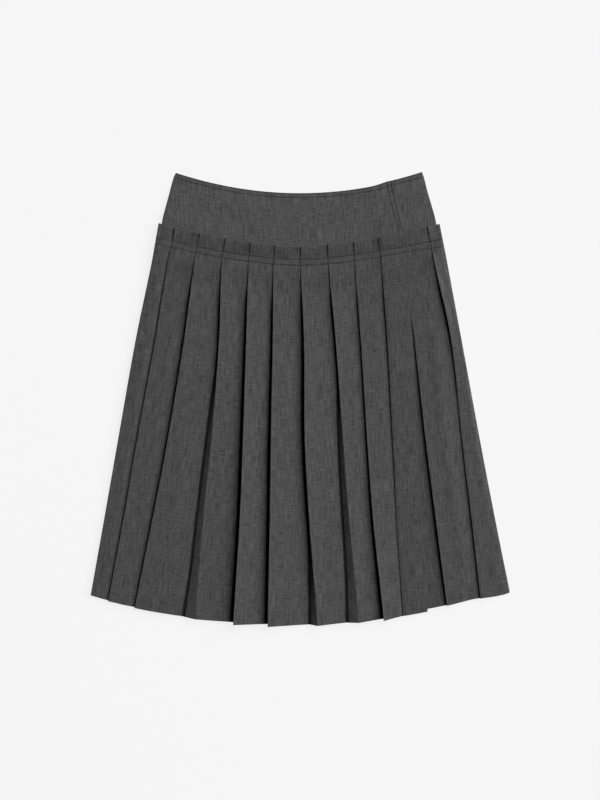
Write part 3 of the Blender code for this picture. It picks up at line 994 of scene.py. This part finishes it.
@dataclass
class Section:
    """One row of the cloth's middle surface."""

    level: float
    points: list[Point]
    heights: list[float]
    places: list[float]

    def top_at(self, x: float) -> float | None:
        """The height of the highest cloth at a place, or None where there is none.

        Args:
            x: the place across the skirt.

        Returns:
            The height above the floor, or None.
        """
        best = None
        for first, second in zip(self.points, self.points[1:]):
            low, high = sorted((first.x, second.x))
            if low <= x <= high and high > low:
                share = (x - first.x) / (second.x - first.x)
                z = between(first.z, second.z, share)
                best = z if best is None else max(best, z)
        return best


def places_on_cloth(points: Sequence[Point]) -> list[float]:
    """How far along the cloth every point lies from its own panel's crease.

    Args:
        points: the points of a row.

    Returns:
        The distances, with a shift for each panel.
    """
    run, total = [0.0], 0.0
    for first, second in zip(points, points[1:]):
        total += math.hypot(second.x - first.x, second.z - first.z)
        run.append(total)
    starts: dict[int, float] = {}
    for point, length in zip(points, run):
        if point.crease or point.panel not in starts:
            starts[point.panel] = length
    return [length - starts[p.panel] + PANEL_SHIFT * p.panel for p, length in zip(points, run)]


@dataclass(frozen=True)
class Hem:
    """How the hem's edge hangs: in teeth at the creases, and shorter where it is hidden."""

    run: float = 72.5  # how far above the edge it starts to hang so
    overlap_tooth: float = 3.1
    underlap_tooth: float = 1.3
    # How much shorter the underlap hangs than the overlap, and how much longer at the right side
    underlap_hitch: float = 4.2
    underlap_drop: float = 2.0
    underlap_turn: float = 250.0
    underlap_run: float = 58.0
    # How much shorter the cloth near the floor hangs, and how much more behind the underlap
    back_hitch: float = 3.0
    back_hitch_more: float = 9.0
    back_hitch_place: float = 205.0
    back_hitch_width: float = 75.0

    def hidden_rise(self, point: Point) -> float:
        """How much shorter cloth near the floor hangs, so that the front hides it."""
        low = 1 - smooth_step((point.z - BACK_SEAT) / BACK_SEAT)
        away = (point.x - self.back_hitch_place) / self.back_hitch_width
        return low * (self.back_hitch + self.back_hitch_more * math.exp(-(away**2)))

    def tooth(self, hang: Hang) -> float:
        """How far the creases, which stand off the skirt, hang below the rest of the hem."""
        teeth = {Hang.OVERLAP: self.overlap_tooth, Hang.UNDERLAP: self.underlap_tooth}
        return teeth.get(hang, 0.0)

    def shifts(self, level: float, points: Sequence[Point], hang: Hang) -> list[float]:
        """How far the hem moves every point of a row up.

        Args:
            level: the row's level.
            points: the row's points.
            hang: how the piece hangs.

        Returns:
            The shifts, which are 0 from the hem's run upwards.
        """
        near = min(max((HEM + self.run - level) / self.run, 0.0), 1.0)
        low = min(point.z for point in points)
        high = max(point.z for point in points)
        shifts = []
        for point in points:
            shift = self.hidden_rise(point) - self.tooth(hang) * (point.z - low) / (high - low)
            if hang is Hang.UNDERLAP:
                turned = smooth_step((point.x - self.underlap_turn) / self.underlap_run)
                shift += between(self.underlap_hitch, -self.underlap_drop, turned)
            shifts.append(near * shift)
        return shifts


HEMLINE = Hem()


def pleated_sections(path_of: PathOf, levels: Sequence[float], hang: Hang) -> list[Section]:
    """The rows of a piece of pleated cloth.

    Args:
        path_of: gives the path of the cloth at a level.
        levels: the levels of the rows.
        hang: how the piece hangs. The stitching squeezes every piece but the back.

    Returns:
        A section for every level.
    """
    sections = []
    for level in levels:
        points = belt(path_of(level))
        seat, squeeze = SEAT.at(level), FAN.squeeze(level)
        if hang is not Hang.BACK and squeeze > LEAST_SQUEEZE:
            points = [
                p._replace(z=seat + (p.z - seat) * (1 - squeeze)) if p.z > seat else p
                for p in points
            ]
        shifts = HEMLINE.shifts(level, points, hang)
        heights = [FAN.height(level, p.x) + shift for p, shift in zip(points, shifts)]
        sections.append(Section(level, points, heights, places_on_cloth(points)))
    return sections


def yoke_sections(path_of: PathOf, levels: Sequence[float]) -> list[Section]:
    """The rows of a piece of the yoke.

    Args:
        path_of: gives the path of the cloth at a level.
        levels: the levels of the rows.

    Returns:
        A section for every level.
    """
    sections = []
    for level in levels:
        points = belt(path_of(level))
        heights = [YOKE.height(level, point.x) for point in points]
        sections.append(Section(level, points, heights, [point.x for point in points]))
    return sections


def rows(top: float, *stretches: tuple[float, float]) -> list[float]:
    """The levels of the rows of a piece, from its top edge down.

    Args:
        top: the level of the top edge, which has a lip below it.
        stretches: the level where each stretch ends, and about how far apart its rows are.

    Returns:
        The levels.
    """
    levels = [top, top - EDGE_LIP]
    for end, step in stretches:
        start = levels[-1]
        count = max(1, round((start - end) / step))
        levels += [between(start, end, (i + 1) / count) for i in range(count)]
    return levels


def placed(
    name: str, mesh: bmesh.types.BMesh, *materials: bpy.types.Material
) -> bpy.types.Object:
    """Makes an object of a mesh and its materials, and puts it into the scene.

    Args:
        name: the object's name.
        mesh: its mesh, which is freed.
        *materials: the materials of its faces.

    Returns:
        The object.
    """
    data = bpy.data.meshes.new(name)
    mesh.to_mesh(data)
    mesh.free()
    for material in materials:
        data.materials.append(material)
    piece = bpy.data.objects.new(name, data)
    bpy.context.scene.collection.objects.link(piece)
    return piece


@dataclass(frozen=True)
class ClothSheet:
    """A thin shell of cloth lofted through rows."""

    name: str
    sections: Sequence[Section]
    thickness: float

    def build(self, *materials: bpy.types.Material) -> bpy.types.Object:
        """Makes the piece, its parts in painted shade in the last material, and logs its size.

        Args:
            *materials: the cloth's material, and one for its parts in painted shade if they
                        differ.

        Returns:
            The piece.
        """
        columns, lines = len(self.sections[0].points), len(self.sections)
        mesh = bmesh.new()
        bmesh.ops.create_grid(mesh, x_segments=columns - 1, y_segments=lines - 1, size=1.0)
        cloth_map = mesh.loops.layers.uv.new(CLOTH_MAP)
        cells = {}
        for vert in mesh.verts:
            column = round((vert.co.x + 1) / 2 * (columns - 1))
            row = round((1 - vert.co.y) / 2 * (lines - 1))
            cells[vert.index] = (column, row)
            section = self.sections[row]
            point = section.points[column]
            vert.co = Vector((point.x, section.heights[column], point.z)) * MM
        for face in mesh.faces:
            face.smooth = True
            # a face whose corners all lie in painted shade takes the last material
            deep = True
            for loop in face.loops:
                column, row = cells[loop.vert.index]
                section = self.sections[row]
                loop[cloth_map].uv = (section.places[column] * MM, section.level * MM)
                deep = deep and section.points[column].deep
            face.material_index = len(materials) - 1 if deep else 0
        piece = placed(self.name, mesh, *materials)
        shell = piece.modifiers.new("cloth", "SOLIDIFY")
        shell.thickness = self.thickness * MM
        shell.offset = 0.0
        LOG.info("%s: %d columns, %d rows", self.name, columns, lines)
        return piece

    def cut(self) -> tuple[float, float, float]:
        """The flat width at the widest row, the length and the flat area, in metres."""
        widths = []
        for section in self.sections:
            points = section.points
            widths.append(
                sum(math.hypot(b.x - a.x, b.z - a.z) for a, b in zip(points, points[1:]))
            )
        levels = [section.level for section in self.sections]
        area = 0.0
        for i in range(len(levels) - 1):
            area += (widths[i] + widths[i + 1]) / 2 * (levels[i] - levels[i + 1])
        return max(widths) * MM, (levels[0] - levels[-1]) * MM, area * MM * MM


@dataclass(frozen=True)
class Seam:
    """The sizes of the stitches in a row."""

    pitch: float = 3.0
    length: float = 2.6
    width: float = 0.75
    height: float = 0.3
    sunk_share: float = 0.12  # of the pitch, the part at each end where the thread is sunk
    most_climb: float = 0.8  # a stitch that would climb more, over a fold, is left out


class Stitches:
    """Rows of stitches that are one piece."""

    def __init__(self, name: str, seam: Seam) -> None:
        """Starts a piece without any stitch."""
        self.name, self.seam = name, seam
        self.mesh = bmesh.new()
        self.count = 0

    def stitch(self, start: Vector, end: Vector) -> None:
        """Adds a stitch between two places on the cloth."""
        middle, way = (start + end) / 2, (end - start).normalized()
        turn = way.to_track_quat("X", "Z").to_matrix().to_4x4()
        size = Matrix.Diagonal((self.seam.length / 2, self.seam.width / 2, self.seam.height, 1))
        place = Matrix.Translation(middle) @ turn @ size
        bmesh.ops.create_icosphere(
            self.mesh, subdivisions=1, radius=1.0, matrix=Matrix.Scale(MM, 4) @ place
        )
        self.count += 1

    def row(self, line: StitchLine, start: float, end: float) -> None:
        """Adds stitches along a line that gives the place on the cloth at every distance.

        Args:
            line: gives the place, or None where there is no cloth.
            start: where the row starts.
            end: where it ends.
        """
        count = int(abs(end - start) / self.seam.pitch)
        step = (end - start) / count
        for i in range(count):
            first = line(start + step * (i + self.seam.sunk_share))
            second = line(start + step * (i + 1 - self.seam.sunk_share))
            if first is None or second is None:
                continue
            if abs(first.z - second.z) <= self.seam.most_climb:
                self.stitch(first, second)

    def build(self, material: bpy.types.Material) -> bpy.types.Object:
        """Makes the piece and logs its size."""
        for face in self.mesh.faces:
            face.smooth = True
        LOG.info("%s: %d stitches", self.name, self.count)
        return placed(self.name, self.mesh, material)


@dataclass(frozen=True)
class Finish:
    """The plain values of a surface."""

    colour: tuple[float, float, float]
    roughness: float
    specular: float


WOOL_FINISH = Finish(colour=(0.0755, 0.0755, 0.0765), roughness=0.95, specular=0.12)
# Painted shade: the same wool, darkened where it lies in the slits and valleys of the pleats
DEEP_FINISH = Finish(colour=(0.017, 0.017, 0.0175), roughness=0.95, specular=0.05)
# Painted light: the pleats' wool made paler, so that the flat yoke shows as bright as the pleats'
# faces, which tilt towards the lamp
YOKE_FINISH = Finish(colour=(0.086, 0.086, 0.087), roughness=0.95, specular=0.12)
THREAD_FINISH = Finish(colour=(0.014, 0.014, 0.015), roughness=0.8, specular=0.1)
FLOOR_FINISH = Finish(colour=(0.12, 0.12, 0.12), roughness=1.0, specular=0.0)


class Value:
    """A shader output that takes part in arithmetic."""

    def __init__(self, tree: bpy.types.NodeTree, output: bpy.types.NodeSocket) -> None:
        """Keeps an output and the tree that it is in."""
        self.tree, self.output = tree, output

    def _math(self, operation: str, first: object, second: object) -> Value:
        """The outcome of a maths node on two values, each an output or a number."""
        node = self.tree.nodes.new("ShaderNodeMath")
        node.operation = operation
        for socket, value in zip(node.inputs, (first, second)):
            if isinstance(value, Value):
                self.tree.links.new(value.output, socket)
            else:
                socket.default_value = value
        return Value(self.tree, node.outputs[0])

    def __add__(self, other: object) -> Value:
        """The sum."""
        return self._math("ADD", self, other)

    def __sub__(self, other: object) -> Value:
        """The difference."""
        return self._math("SUBTRACT", self, other)

    def __rsub__(self, other: object) -> Value:
        """The difference from a number."""
        return self._math("SUBTRACT", other, self)

    def __mul__(self, other: object) -> Value:
        """The product."""
        return self._math("MULTIPLY", self, other)

    def __truediv__(self, other: object) -> Value:
        """The quotient."""
        return self._math("DIVIDE", self, other)

    def sine(self) -> Value:
        """The sine of the value."""
        return self._math("SINE", self, 0.0)

    def above(self, limit: float) -> Value:
        """1 where the value is above a limit, and 0 elsewhere."""
        return self._math("GREATER_THAN", self, limit)

    def near(self, place: float, width: float) -> Value:
        """1 where the value is at a place, and soft down to 0 away from it."""
        away = (self - place) / width
        return self._math("EXPONENT", away * away * -1.0, 0.0)


class Shader:
    """A material and the nodes that feed it."""

    def __init__(self, name: str, finish: Finish) -> None:
        """Makes the material with the plain values of its finish."""
        self.material = bpy.data.materials.new(name)
        self.material.use_nodes = True
        self.tree = self.material.node_tree
        self.surface = self.tree.nodes["Principled BSDF"]
        self.set("Base Color", (*finish.colour, 1.0))
        self.set("Roughness", finish.roughness)
        self.set("Specular IOR Level", finish.specular)

    def set(self, name: str, value: object) -> None:
        """Sets a constant of the surface."""
        self.surface.inputs[name].default_value = value

    def node(self, kind: str, output: str | int = 0, **inputs: object) -> Value:
        """Adds a node and gives one of its outputs.

        Args:
            kind: the node's type.
            output: the name or number of the output.
            **inputs: what its inputs get, each a number, a vector or an output, by name.

        Returns:
            The output.
        """
        node = self.tree.nodes.new(kind)
        for name, value in inputs.items():
            if hasattr(node, name) and not isinstance(value, Value):
                setattr(node, name, value)
                continue
            socket = node.inputs[name.replace("_", " ")]
            if isinstance(value, Value):
                self.tree.links.new(value.output, socket)
            else:
                socket.default_value = value
        return Value(self.tree, node.outputs[output])

    def feed(self, value: Value, name: str) -> None:
        """Feeds a value to an input of the surface."""
        self.tree.links.new(value.output, self.surface.inputs[name])


class Wool(Shader):
    """Grey wool with a plain weave and paler and darker fibres along both threads."""

    THREAD = 0.8
    THREAD_HEIGHT = 0.6
    WEAVE_DEPTH = 0.00006  # in metres
    # Streaks of paler and darker fibres, how much each kind counts, and soft patches
    WARP_LENGTH, WEFT_LENGTH = 26.0, 13.0
    STREAK_WIDTH = 1.6
    STREAK_DEPTH = 1.08
    STREAK_HEIGHT = 1.5
    WEFT, WARP, PATCH = 1.1, 1.25, 0.12
    PATCH_SCALE = 0.08
    WARP_SHIFT, PATCH_SHIFT = 31.0, 17.0
    FIBRE_DETAIL, PATCH_DETAIL = 1.0, 2.0
    NOISE_ROUGHNESS = 0.6
    # Painted shade of the dent along a row of stitches, darker at each stitch and uneven along it
    ROW_WIDTH = 0.95
    DASH_DEPTH = 0.2
    DENT_ACROSS, DENT_UP, DENT_DEPTH = 0.11, 0.02, 1.6

    def __init__(self, name: str, finish: Finish) -> None:
        """Makes the material, on the map of places on the cloth."""
        super().__init__(name, finish)
        separate = self.tree.nodes.new("ShaderNodeSeparateXYZ")
        where = self.tree.nodes.new("ShaderNodeUVMap")
        where.uv_map = CLOTH_MAP
        self.tree.links.new(where.outputs[0], separate.inputs[0])
        self.across = Value(self.tree, separate.outputs[0]) * (1 / MM)
        self.up = Value(self.tree, separate.outputs[1]) * (1 / MM)
        streaks = self.streaks()
        # the wool's own streaks, times the painted shade and light of its rows and edges
        grain = (streaks * self.STREAK_DEPTH + 1.0) * (1.0 - self.marks())
        red, green, blue = (grain * part for part in finish.colour)
        colour = self.node("ShaderNodeCombineColor", Red=red, Green=green, Blue=blue)
        self.feed(colour, "Base Color")
        self.feed(self.weave(streaks), "Normal")

    def marks(self) -> Value:
        """How much darker painted shade makes the rows of stitches and the edges, less any painted
        highlight.
        """
        raise NotImplementedError

    def row(self, level: float, darkness: float) -> Value:
        """The painted shade of the dent along a row of stitches at a level.

        Args:
            level: the row's level.
            darkness: how much darker the row is painted than the cloth.

        Returns:
            The painted shade at every place.
        """
        beat = (self.across * (math.tau / Seam.pitch)).sine()
        dashes = beat * self.DASH_DEPTH + (1.0 - self.DASH_DEPTH)
        place = (self.across * self.DENT_ACROSS, self.up * self.DENT_UP + level)
        patchy = self.noise(*place, self.FIBRE_DETAIL) * self.DENT_DEPTH + 1.0
        return self.up.near(level, self.ROW_WIDTH) * dashes * patchy * darkness

    def noise(self, across: Value, up: Value, detail: float) -> Value:
        """Noise about 0 at a place.

        Args:
            across: the place across.
            up: the place up.
            detail: how fine the noise goes.

        Returns:
            The noise.
        """
        place = self.node("ShaderNodeCombineXYZ", X=across, Y=up, Z=0.0)
        noise = self.node(
            "ShaderNodeTexNoise",
            "Fac",
            Vector=place,
            Scale=1.0,
            Detail=detail,
            Roughness=self.NOISE_ROUGHNESS,
        )
        return noise - 0.5

    def streaks(self) -> Value:
        """Paler and darker threads both ways, and soft patches."""
        thin = 1 / self.STREAK_WIDTH
        across, up = self.across, self.up
        weft = self.noise(across / self.WEFT_LENGTH, up * thin, self.FIBRE_DETAIL)
        warp_across = across * thin + self.WARP_SHIFT
        warp = self.noise(warp_across, up / self.WARP_LENGTH, self.FIBRE_DETAIL)
        patch_up = up * self.PATCH_SCALE + self.PATCH_SHIFT
        patch = self.noise(across * self.PATCH_SCALE, patch_up, self.PATCH_DETAIL)
        return weft * self.WEFT + warp * self.WARP + patch * self.PATCH

    def weave(self, streaks: Value) -> Value:
        """The normal of the woven threads."""
        turn = math.tau / self.THREAD
        threads = (self.across * turn).sine() * (self.up * turn).sine()
        return self.node(
            "ShaderNodeBump",
            Strength=self.THREAD_HEIGHT,
            Distance=self.WEAVE_DEPTH,
            Height=threads + streaks * self.STREAK_HEIGHT,
        )


class PleatWool(Wool):
    """The wool of the pleats, with painted shade along the two rows of stitches under the frill.
    """

    ROW_DARKNESS = 0.42
    # Painted shade on the frill's face, and a painted highlight where its raw edge catches the
    # light
    FRILL_INSET, FRILL_SHADE = 1.0, 0.07
    RAW_EDGE_WIDTH, RAW_EDGE_LIGHT = 1.2, 0.16

    def marks(self) -> Value:
        """Painted shade on the two rows and the frill's face, and a painted highlight on its raw
        edge.
        """
        upper = self.row(UPPER_STITCHES, self.ROW_DARKNESS)
        lower = self.row(LOWER_STITCHES, self.ROW_DARKNESS)
        frill = self.up.above(UPPER_STITCHES + self.FRILL_INSET) * self.FRILL_SHADE
        raw_edge = self.up.above(FRILL_TOP - self.RAW_EDGE_WIDTH) * self.RAW_EDGE_LIGHT
        return upper + lower + frill - raw_edge


class YokeWool(Wool):
    """The wool of the yoke, with painted shade along the stitches at its waist and its free edge.
    """

    ROW_DARKNESS = 0.34
    # Painted shade along the waist edge, where the folded edge turns away from the light
    WAIST_EDGE_WIDTH, WAIST_EDGE_DARKNESS = 1.5, 0.4
    # Where beside the free edge its painted shadow and painted highlight lie, and how wide they
    # are
    FREE_EDGE_PLACE, FREE_EDGE_WIDTH, FREE_EDGE_DARKNESS = 0.4, 1.0, 0.5
    STRIP_PLACE, STRIP_WIDTH, STRIP_LIGHT = -1.8, 0.9, 0.08

    def marks(self) -> Value:
        """Painted shade on the waist row, the free edge row and both edges, and a painted
        highlight.
        """
        edge = (YOKE.waist - self.up) * YOKE.slant + YOKE.free_edge_waist
        beside = self.across - edge
        waist_row = self.row(SEWING.waist_level, self.ROW_DARKNESS)
        edge_row = beside.near(-SEWING.edge_inset, self.ROW_WIDTH) * self.ROW_DARKNESS
        waist_edge = self.up.above(YOKE.waist - self.WAIST_EDGE_WIDTH) * self.WAIST_EDGE_DARKNESS
        # painted shadow along the free edge and on the underlap beside it
        free_edge = beside.near(self.FREE_EDGE_PLACE, self.FREE_EDGE_WIDTH)
        edges = waist_edge + free_edge * self.FREE_EDGE_DARKNESS
        # a painted highlight on the band between the free edge's stitches and the edge
        strip = beside.near(self.STRIP_PLACE, self.STRIP_WIDTH) * self.STRIP_LIGHT
        return waist_row + edge_row + edges - strip


@dataclass(frozen=True)
class Studio:
    """The plain floor, the soft light from the viewer's right, and the camera, in metres."""

    camera_height: float = 3.005
    lens: float = 90.0
    far_clip: float = 20.0
    light_tilt: float = math.radians(49.0)
    light_turn: float = math.radians(25.0)
    light_distance: float = 12.0
    light_size: float = 12.0
    light_power: float = 2350.0
    fill: float = 0.015
    floor_glow: float = 0.82
    floor_reach: float = 30.0
    floor_depth: float = 0.0002  # how far the floor lies below the cloth, so that they don't touch
    white: tuple[float, float, float, float] = (1.0, 1.0, 1.0, 1.0)

    def build(self) -> bpy.types.Object:
        """Makes everything that isn't the skirt, and gives the floor."""
        scene = bpy.context.scene
        scene.view_settings.view_transform = "Standard"
        camera = bpy.data.cameras.new("camera")
        camera.lens = self.lens
        camera.clip_end = self.far_clip
        watcher = bpy.data.objects.new("camera", camera)
        watcher.location = (0.0, 0.0, self.camera_height)
        scene.collection.objects.link(watcher)
        scene.camera = watcher
        self.light()
        world = bpy.data.worlds.new("studio")
        world.use_nodes = True
        background = world.node_tree.nodes["Background"]
        background.inputs["Color"].default_value = self.white
        background.inputs["Strength"].default_value = self.fill
        scene.world = world
        return self.floor()

    def light(self) -> None:
        """Makes the soft light."""
        lamp = bpy.data.lights.new("soft_light", "AREA")
        lamp.shape = "SQUARE"
        lamp.size = self.light_size
        lamp.energy = self.light_power
        place = bpy.data.objects.new("soft_light", lamp)
        way = Matrix.Rotation(self.light_turn, 4, "Z") @ Matrix.Rotation(self.light_tilt, 4, "Y")
        place.matrix_world = way @ Matrix.Translation((0.0, 0.0, self.light_distance))
        bpy.context.scene.collection.objects.link(place)

    def floor(self) -> bpy.types.Object:
        """Makes the floor."""
        mesh = bmesh.new()
        bmesh.ops.create_grid(mesh, x_segments=1, y_segments=1, size=self.floor_reach)
        shader = Shader("floor", FLOOR_FINISH)
        shader.set("Emission Color", self.white)
        shader.set("Emission Strength", self.floor_glow)
        floor = placed("floor", mesh, shader.material)
        floor.location = (0.0, 0.0, -self.floor_depth)
        return floor


@dataclass(frozen=True)
class Sewing:
    """The rows of stitches that show, as lines on the pieces that they run along."""

    waist_level: float = 304.0
    # The row along the overlap's free edge: how far inside it, and from where to where
    edge_inset: float = 5.2
    edge_top: float = 306.0
    edge_foot: float = 232.0
    # How far before an edge or a side the rows end
    end_inset: float = 2.0
    side_inset: float = 3.0
    back_inset: float = 12.0
    back_seam: Seam = Seam(height=0.1)

    def frill_line(self, level: float, *paths: PathOf) -> StitchLine:
        """A line of stitches on the front at a level, on the highest of some pieces.

        Args:
            level: the level.
            *paths: the pieces, each as its path for a level.

        Returns:
            What gives the place of a stitch.
        """
        sections = [pleated_sections(path, [level], Hang.OVERLAP)[0] for path in paths]

        def place(x: float) -> Vector | None:
            """The place on the cloth, or None where there is none."""
            tops = [z for z in (section.top_at(x) for section in sections) if z is not None]
            return Vector((x, FAN.height(level, x), max(tops) + WOOL / 2)) if tops else None

        return place

    def back_line(self, level: float) -> StitchLine:
        """A line of stitches on the underside at a level."""
        return lambda x: Vector((x, FAN.height(level, x), BACK_FACE - WOOL / 2))

    def waist_line(self, path_of: PathOf) -> StitchLine:
        """A line of stitches along the waist edge of a piece of the yoke.

        Args:
            path_of: gives the piece's path at a level.

        Returns:
            What gives the place of a stitch.
        """
        level = self.waist_level
        section = yoke_sections(path_of, [level])[0]

        def place(x: float) -> Vector | None:
            """The place on the cloth, or None where there is none."""
            z = section.top_at(x)
            return None if z is None else Vector((x, YOKE.height(level, x), z + YOKE_CLOTH / 2))

        return place

    def edge_place(self, level: float) -> Vector:
        """The place of the stitches along the overlap's free edge."""
        x = YOKE.free_edge(level) - self.edge_inset
        z = YOKE.front_face.at(level) + SOLID_LAYER + YOKE_CLOTH / 2
        return Vector((x, YOKE.height(level, x), z))

    def sew_frill(self, front: Stitches, under: Stitches, back: Stitches) -> None:
        """Sews the two rows under the frill, on the front, on the underlap and on the back."""
        for level in (UPPER_STITCHES, LOWER_STITCHES):
            left, right = FAN.crossing(level, LEFT_SIDE), FAN.crossing(level, RIGHT_SIDE)
            edge = FAN.crossing(level, PLACKET_EDGE)
            over = self.frill_line(level, PLEATS.front, PLEATS.back)
            front.row(over, left + self.end_inset, edge - self.end_inset)
            lower = self.frill_line(level, PLEATS.underlap)
            under.row(lower, edge + self.end_inset, right - self.side_inset)
            back.row(self.back_line(level), left + self.back_inset, right - self.back_inset)

    def sew_waist(self, front: Stitches, under: Stitches) -> None:
        """Sews the row under the waist edge, and the one along the overlap's free edge."""
        edge = YOKE.free_edge(self.waist_level)
        left, right = YOKE.left.at(self.waist_level), YOKE.right.at(self.waist_level)
        over, lower = self.waist_line(YOKE.overlap), self.waist_line(YOKE.underlap)
        front.row(over, left + self.end_inset, edge - self.end_inset)
        front.row(self.edge_place, self.edge_top, self.edge_foot)
        under.row(lower, edge + self.end_inset, right - self.end_inset)

    def build(self, thread: bpy.types.Material) -> dict[str, bpy.types.Object]:
        """Makes the rows of stitches, by the node that each is sewn on.

        Args:
            thread: the material of the stitches.

        Returns:
            The pieces by the names of their nodes.
        """
        rows_on = {
            "pleats_front": Stitches("stitches_frill_front", Seam()),
            "pleats_underlap": Stitches("stitches_frill_underlap", Seam()),
            "pleats_back": Stitches("stitches_frill_back", self.back_seam),
            "yoke_front": Stitches("stitches_waist", Seam()),
            "yoke_underlap": Stitches("stitches_waist_underlap", Seam()),
        }
        front, under, back, waist, waist_under = rows_on.values()
        self.sew_frill(front, under, back)
        self.sew_waist(waist, waist_under)
        return {node: stitches.build(thread) for node, stitches in rows_on.items()}


SEWING = Sewing()


class Skirt:
    """Every piece of cloth and every row of stitches."""

    FRONT_ROWS = rows(
        FRILL_TOP, (196.0, 1.5), (150.0, 3.0), (HEM + EDGE_LIP, 5.0), (HEM, EDGE_LIP)
    )
    BACK_ROWS = rows(
        FRILL_TOP, (196.0, 5.0), (118.0, 6.0), (HEM + EDGE_LIP, 14.0), (HEM, EDGE_LIP)
    )
    YOKE_ROWS = rows(YOKE_LEVELS[0], (YOKE_LEVELS[-1], 3.0))
    LARGEST_SHARE = 0.999  # of its flat width and length, the most that a piece's area takes

    def __init__(self) -> None:
        """Makes the finishes and works out the rows of every piece."""
        self.wool = PleatWool("wool_pleats", WOOL_FINISH).material
        # the same wool, darkened as painted shade in the slits and valleys
        self.deep_wool = PleatWool("wool_deep", DEEP_FINISH).material
        self.yoke_wool = YokeWool("wool_yoke", YOKE_FINISH).material
        self.thread = Shader("thread", THREAD_FINISH).material
        self.sections: dict[str, list[Section]] = {
            "pleats_front": pleated_sections(PLEATS.front, self.FRONT_ROWS, Hang.OVERLAP),
            "pleats_underlap": pleated_sections(PLEATS.underlap, self.FRONT_ROWS, Hang.UNDERLAP),
            "pleats_back": pleated_sections(PLEATS.back, self.BACK_ROWS, Hang.BACK),
            "yoke_front": yoke_sections(YOKE.overlap, self.YOKE_ROWS),
            "yoke_underlap": yoke_sections(YOKE.underlap, self.YOKE_ROWS),
            "yoke_back": yoke_sections(YOKE.back, self.YOKE_ROWS),
        }

    def build(self) -> None:
        """Makes the pieces and the stitches, hides the parts of the model that they replace, and
        hangs them on the root.
        """
        sewn = SEWING.build(self.thread)
        for stitches in sewn.values():
            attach(stitches, "root")
        for node, sections in self.sections.items():
            smooth = node.startswith("yoke")
            sheet = ClothSheet(f"cloth_{node}", sections, YOKE_CLOTH if smooth else WOOL)
            materials = [self.yoke_wool] if smooth else [self.wool, self.deep_wool]
            piece = sheet.build(*materials)
            width, length, area = sheet.cut()
            LOG.info("%s cut: %.3f by %.3f m, %.4f square m", node, width, length, area)
            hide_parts(node)
            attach(piece, "root")
            [sewn[node]] if node in sewn else []


def main() -> None:
    """Builds the scene."""
    logging.basicConfig(level=logging.INFO, format="%(message)s")
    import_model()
    floor = Studio().build()
    Skirt().build()


if __name__ == "__main__":
    main()
